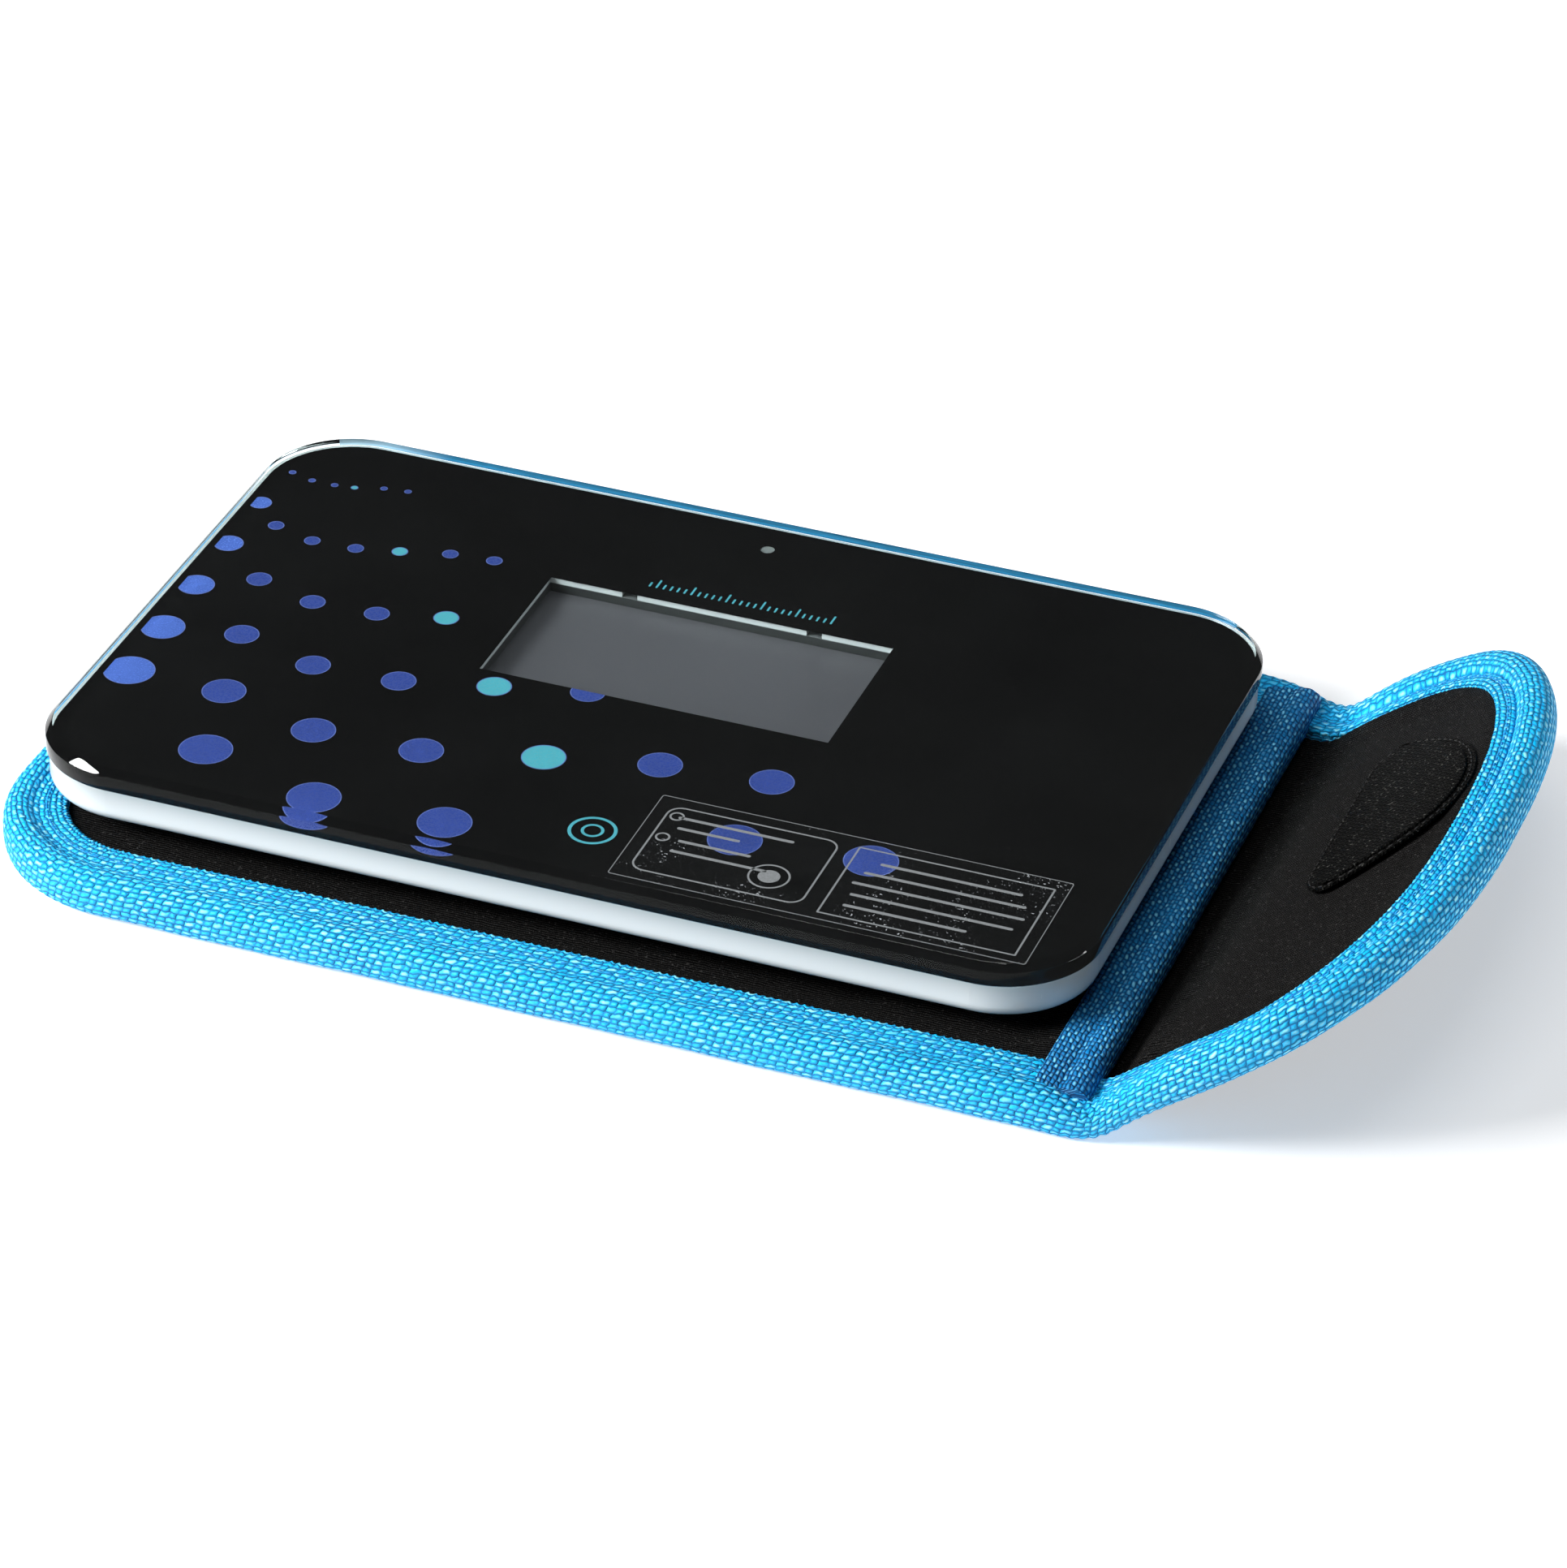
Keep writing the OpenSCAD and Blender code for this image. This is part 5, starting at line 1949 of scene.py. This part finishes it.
@dataclass
class FasteningPatches:
    """The hook patch on the flap and the loop patch on the pocket."""

    shape: SleeveShape
    thick: float = 1.1 * MM
    corner: float = 9.0 * MM
    strip: float = 2.0 * MM
    bow_share: float = 0.55
    step_share: float = 0.45
    sewn_rim: float = 1.6 * MM
    sunk: float = 0.1 * MM
    stitch_pitch: float = 2.0 * MM
    stitch_length: float = 1.4 * MM
    stitch_width: float = 0.3 * MM

    def outline(self, bm: bmesh.types.BMesh, width: float, length: float) -> bmesh.types.BMFace:
        """Add the patch's flat outline round the origin: straight on one side, bowed on the other.

        Args:
            bm: The mesh that gets it.
            width: Across the bow.
            length: Along the straight side.

        Returns:
            The face.
        """
        bow = length * self.bow_share
        centre = Matrix.Translation((width / 2 - bow, 0.0, 0.0))
        bmesh.ops.create_circle(bm, cap_ends=True, segments=96, radius=bow, matrix=centre)
        geom = list(bm.verts) + list(bm.edges) + list(bm.faces)
        for place, normal in (
            ((-width / 2, 0, 0), (-1, 0, 0)),
            ((0, length / 2, 0), (0, 1, 0)),
            ((0, -length / 2, 0), (0, -1, 0)),
        ):
            bmesh.ops.bisect_plane(bm, geom=geom, plane_co=place, plane_no=normal, clear_outer=True)
            geom = list(bm.verts) + list(bm.edges) + list(bm.faces)
        corners = [v for v in bm.verts if v.co.x < -width / 2 + 1e-6]
        bmesh.ops.bevel(
            bm, geom=corners, offset=self.corner, segments=10, profile=0.5, affect="VERTICES", material=-1
        )
        return next(iter(bm.faces))

    def patch(
        self,
        name: str,
        node: str,
        place: Callable[[Vector], Vector],
        width: float,
        length: float,
        body: Body,
    ) -> bpy.types.Object:
        """Build one patch with a lower, sewn rim.

        Args:
            name: The piece's name.
            node: The CAD node it stands for.
            place: Moves a point of the flat patch onto the sleeve.
            width: Across the bow.
            length: Along the straight side.
            body: The body it rides on.

        Returns:
            The patch.
        """
        bm = bmesh.new()
        face = self.outline(bm, width, length)
        self.sew(name, [vert.co.copy() for vert in face.verts], place, body)
        face.normal_update()
        if face.normal.z < 0:
            face.normal_flip()
        top = raise_face(bm, face, self.thick * self.step_share)
        bmesh.ops.inset_region(bm, faces=[top], thickness=self.sewn_rim, use_even_offset=True)
        top = raise_face(bm, top, self.thick * self.step_share)
        bmesh.ops.bevel(
            bm, geom=list(top.edges), offset=0.25 * MM, segments=2, profile=0.5, affect="EDGES", material=-1
        )
        bmesh.ops.recalc_face_normals(bm, faces=bm.faces)
        for axis, span in ((0, width), (1, length)):
            normal = (1.0 - axis, float(axis), 0.0)
            for k in range(1, int(span / self.strip)):
                at = -span / 2 + k * self.strip
                point = (at * normal[0], at * normal[1], 0.0)
                geom = list(bm.verts) + list(bm.edges) + list(bm.faces)
                bmesh.ops.bisect_plane(bm, geom=geom, dist=1e-7, plane_co=point, plane_no=normal)
        for vert in bm.verts:
            vert.co = place(vert.co.copy())
        made = finish_piece(name, bm, HOOKS, 50.0)
        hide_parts(node)
        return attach(made, body.value)

    def sew(
        self, name: str, outline: Sequence[Vector], place: Callable[[Vector], Vector], body: Body
    ) -> None:
        """Sew a row of stitches along a patch's rim.

        Args:
            name: The patch's name.
            outline: Corners of the flat patch, in order.
            place: Moves a point of the flat patch onto the sleeve.
            body: The body it rides on.
        """
        middle = sum(outline, Vector()) / len(outline)
        row = [point + (middle - point).normalized() * (self.sewn_rim / 2) for point in outline]
        places = []
        left = 0.0
        for start, end in zip(row, row[1:] + row[:1]):
            span = (end - start).length
            while left < span:
                at = start.lerp(end, left / span)
                ahead = place(at + (end - start).normalized() * 0.5 * MM) - place(at)
                lifted = at + UP * self.thick * 0.5
                normal = (place(lifted) - place(at)).normalized()
                places.append((place(lifted), ahead, normal))
                left += self.stitch_pitch
            left -= span
        length, width = self.stitch_length, self.stitch_width
        made = stitch_row(name + "_stitches", places, length, width, DARK_THREAD)
        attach(made, body.value)

    def build(self) -> None:
        """Build both patches and lay each on its panel."""
        s = self.shape
        low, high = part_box("flap_hook_patch")
        centre = ((low.x + high.x) / 2, (low.y + high.y) / 2)

        def on_flap(point: Vector) -> Vector:
            """Lay a point of the flat patch on the curled flap.

            Args:
                point: The flat point.

            Returns:
                The laid point.
            """
            x, y = centre[0] + point.x, centre[1] + point.y
            z, slope = s.flap_height(x, y)
            lift = s.neoprene / 2 + point.z
            return Vector((x - math.sin(slope) * lift, y, z + math.cos(slope) * lift))

        width, length = high.x - low.x, high.y - low.y
        self.patch("hook_patch", "flap_hook_patch", on_flap, width, length, Body.FLAP)
        low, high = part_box("sleeve_loop_patch")
        middle = (low + high) / 2
        width, length = high.x - low.x, high.y - low.y

        def on_pocket(point: Vector) -> Vector:
            """Lay a point of the flat patch on the pocket."""
            return Vector((middle.x + point.x, middle.y + point.y, low.z - self.sunk + point.z))

        self.patch("loop_patch", "sleeve_loop_patch", on_pocket, width, length, Body.SLEEVE)


# ---------------------------------------------------------------------------
# Studio
# ---------------------------------------------------------------------------


@dataclass
class Studio:
    """Pale floor, soft lights and the camera."""

    azimuth: float = math.radians(19.627)
    elevation: float = math.radians(32.555)
    roll: float = math.radians(-1.2927)
    look: tuple[float, float, float] = (0.0357, -0.0255, 0.024)
    distance: float = 1.32218
    lens: float = 154.58
    lit_point: tuple[float, float, float] = (0.03, -0.01, 0.01)
    world_colour: Colour = (0.95, 0.97, 1.0, 1.0)
    world_strength: float = 0.04

    def camera(self) -> None:
        """Place the camera."""
        back = Vector(
            (
                math.sin(self.azimuth) * math.cos(self.elevation),
                -math.cos(self.azimuth) * math.cos(self.elevation),
                math.sin(self.elevation),
            )
        )
        right = (-back).cross(UP).normalized()
        down = (-back).cross(right)
        turned = math.cos(self.roll) * right + math.sin(self.roll) * down
        lower = -math.sin(self.roll) * right + math.cos(self.roll) * down
        data = bpy.data.cameras.new("camera")
        data.lens = self.lens
        data.sensor_width = 36.0
        camera = bpy.data.objects.new("camera", data)
        place = Vector(self.look) + back * self.distance
        axes = Matrix((turned, -lower, back)).transposed().to_4x4()
        camera.matrix_world = Matrix.Translation(place) @ axes
        bpy.context.scene.collection.objects.link(camera)
        bpy.context.scene.camera = camera

    def light(self, name: str, place: Sequence[float], size: Plan, power: float) -> None:
        """Add a soft rectangular white light that looks at the object.

        Args:
            name: The light's name.
            place: Where it stands, in metres.
            size: Its width and height.
            power: Its power in watts.
        """
        data = bpy.data.lights.new(name, "AREA")
        data.shape = "RECTANGLE"
        data.size, data.size_y = size
        data.energy = power
        lamp = bpy.data.objects.new(name, data)
        aim = Vector(self.lit_point) - Vector(place)
        lamp.matrix_world = Matrix.Translation(place) @ aim.to_track_quat("-Z", "Y").to_matrix().to_4x4()
        bpy.context.scene.collection.objects.link(lamp)

    def floor(self) -> None:
        """Lay a wide pale floor."""
        bm = bmesh.new()
        bmesh.ops.create_grid(bm, x_segments=1, y_segments=1, size=4.0)
        mesh = bpy.data.meshes.new("floor")
        bm.to_mesh(mesh)
        bm.free()
        mesh.materials.append(FLOOR.material())
        made = bpy.data.objects.new("floor", mesh)
        bpy.context.scene.collection.objects.link(made)

    def build(self) -> None:
        """Set the floor, the lights and a dim world."""
        self.floor()
        self.light("key", (-1.2, -0.8, 0.95), (0.8, 0.6), 56.0)
        self.light("top", (0.0, -0.3, 1.7), (1.0, 1.0), 7.0)
        self.light("side", (1.4, 0.3, 0.5), (0.6, 0.3), 7.0)
        world = bpy.data.worlds.new("world")
        bpy.context.scene.world = world
        world.use_nodes = True
        shade = world.node_tree.nodes["Background"]
        shade.inputs[0].default_value = self.world_colour
        shade.inputs[1].default_value = self.world_strength
        view = bpy.context.scene.view_settings
        view.view_transform = "Standard"
        view.look = "None"


def dress_cad_nodes() -> None:
    """Give every CAD node that stays in view its slot's finish."""
    slots = {entry["node"]: entry["material_slot"] for entry in frame["record"]["subparts"]}
    for name, node in frame["nodes"].items():
        finish = SLOT_FINISHES.get(slots[name])
        if finish is None:
            continue
        node.data.materials.clear()
        node.data.materials.append(finish.material())
    LOG.info("dressed %d CAD nodes", len(frame["nodes"]))


def main() -> None:
    """Build the studio, the scale and the sleeve."""
    logging.basicConfig(level=logging.INFO, format="%(name)s: %(message)s")
    studio = Studio()
    studio.camera()
    studio.build()
    dress_cad_nodes()
    GlassPlatform().build()
    PlatformPrint().build()
    ClearFilm().build()
    shape = SleeveShape()
    rim = Rim(shape)
    tape = EdgeBinding(rim)
    tape.build()
    EdgeStitches(rim, tape).build()
    MouthBinding(shape).build()
    NeoprenePanels(shape).build()
    FasteningPatches(shape).build()


if __name__ == "__main__":
    main()
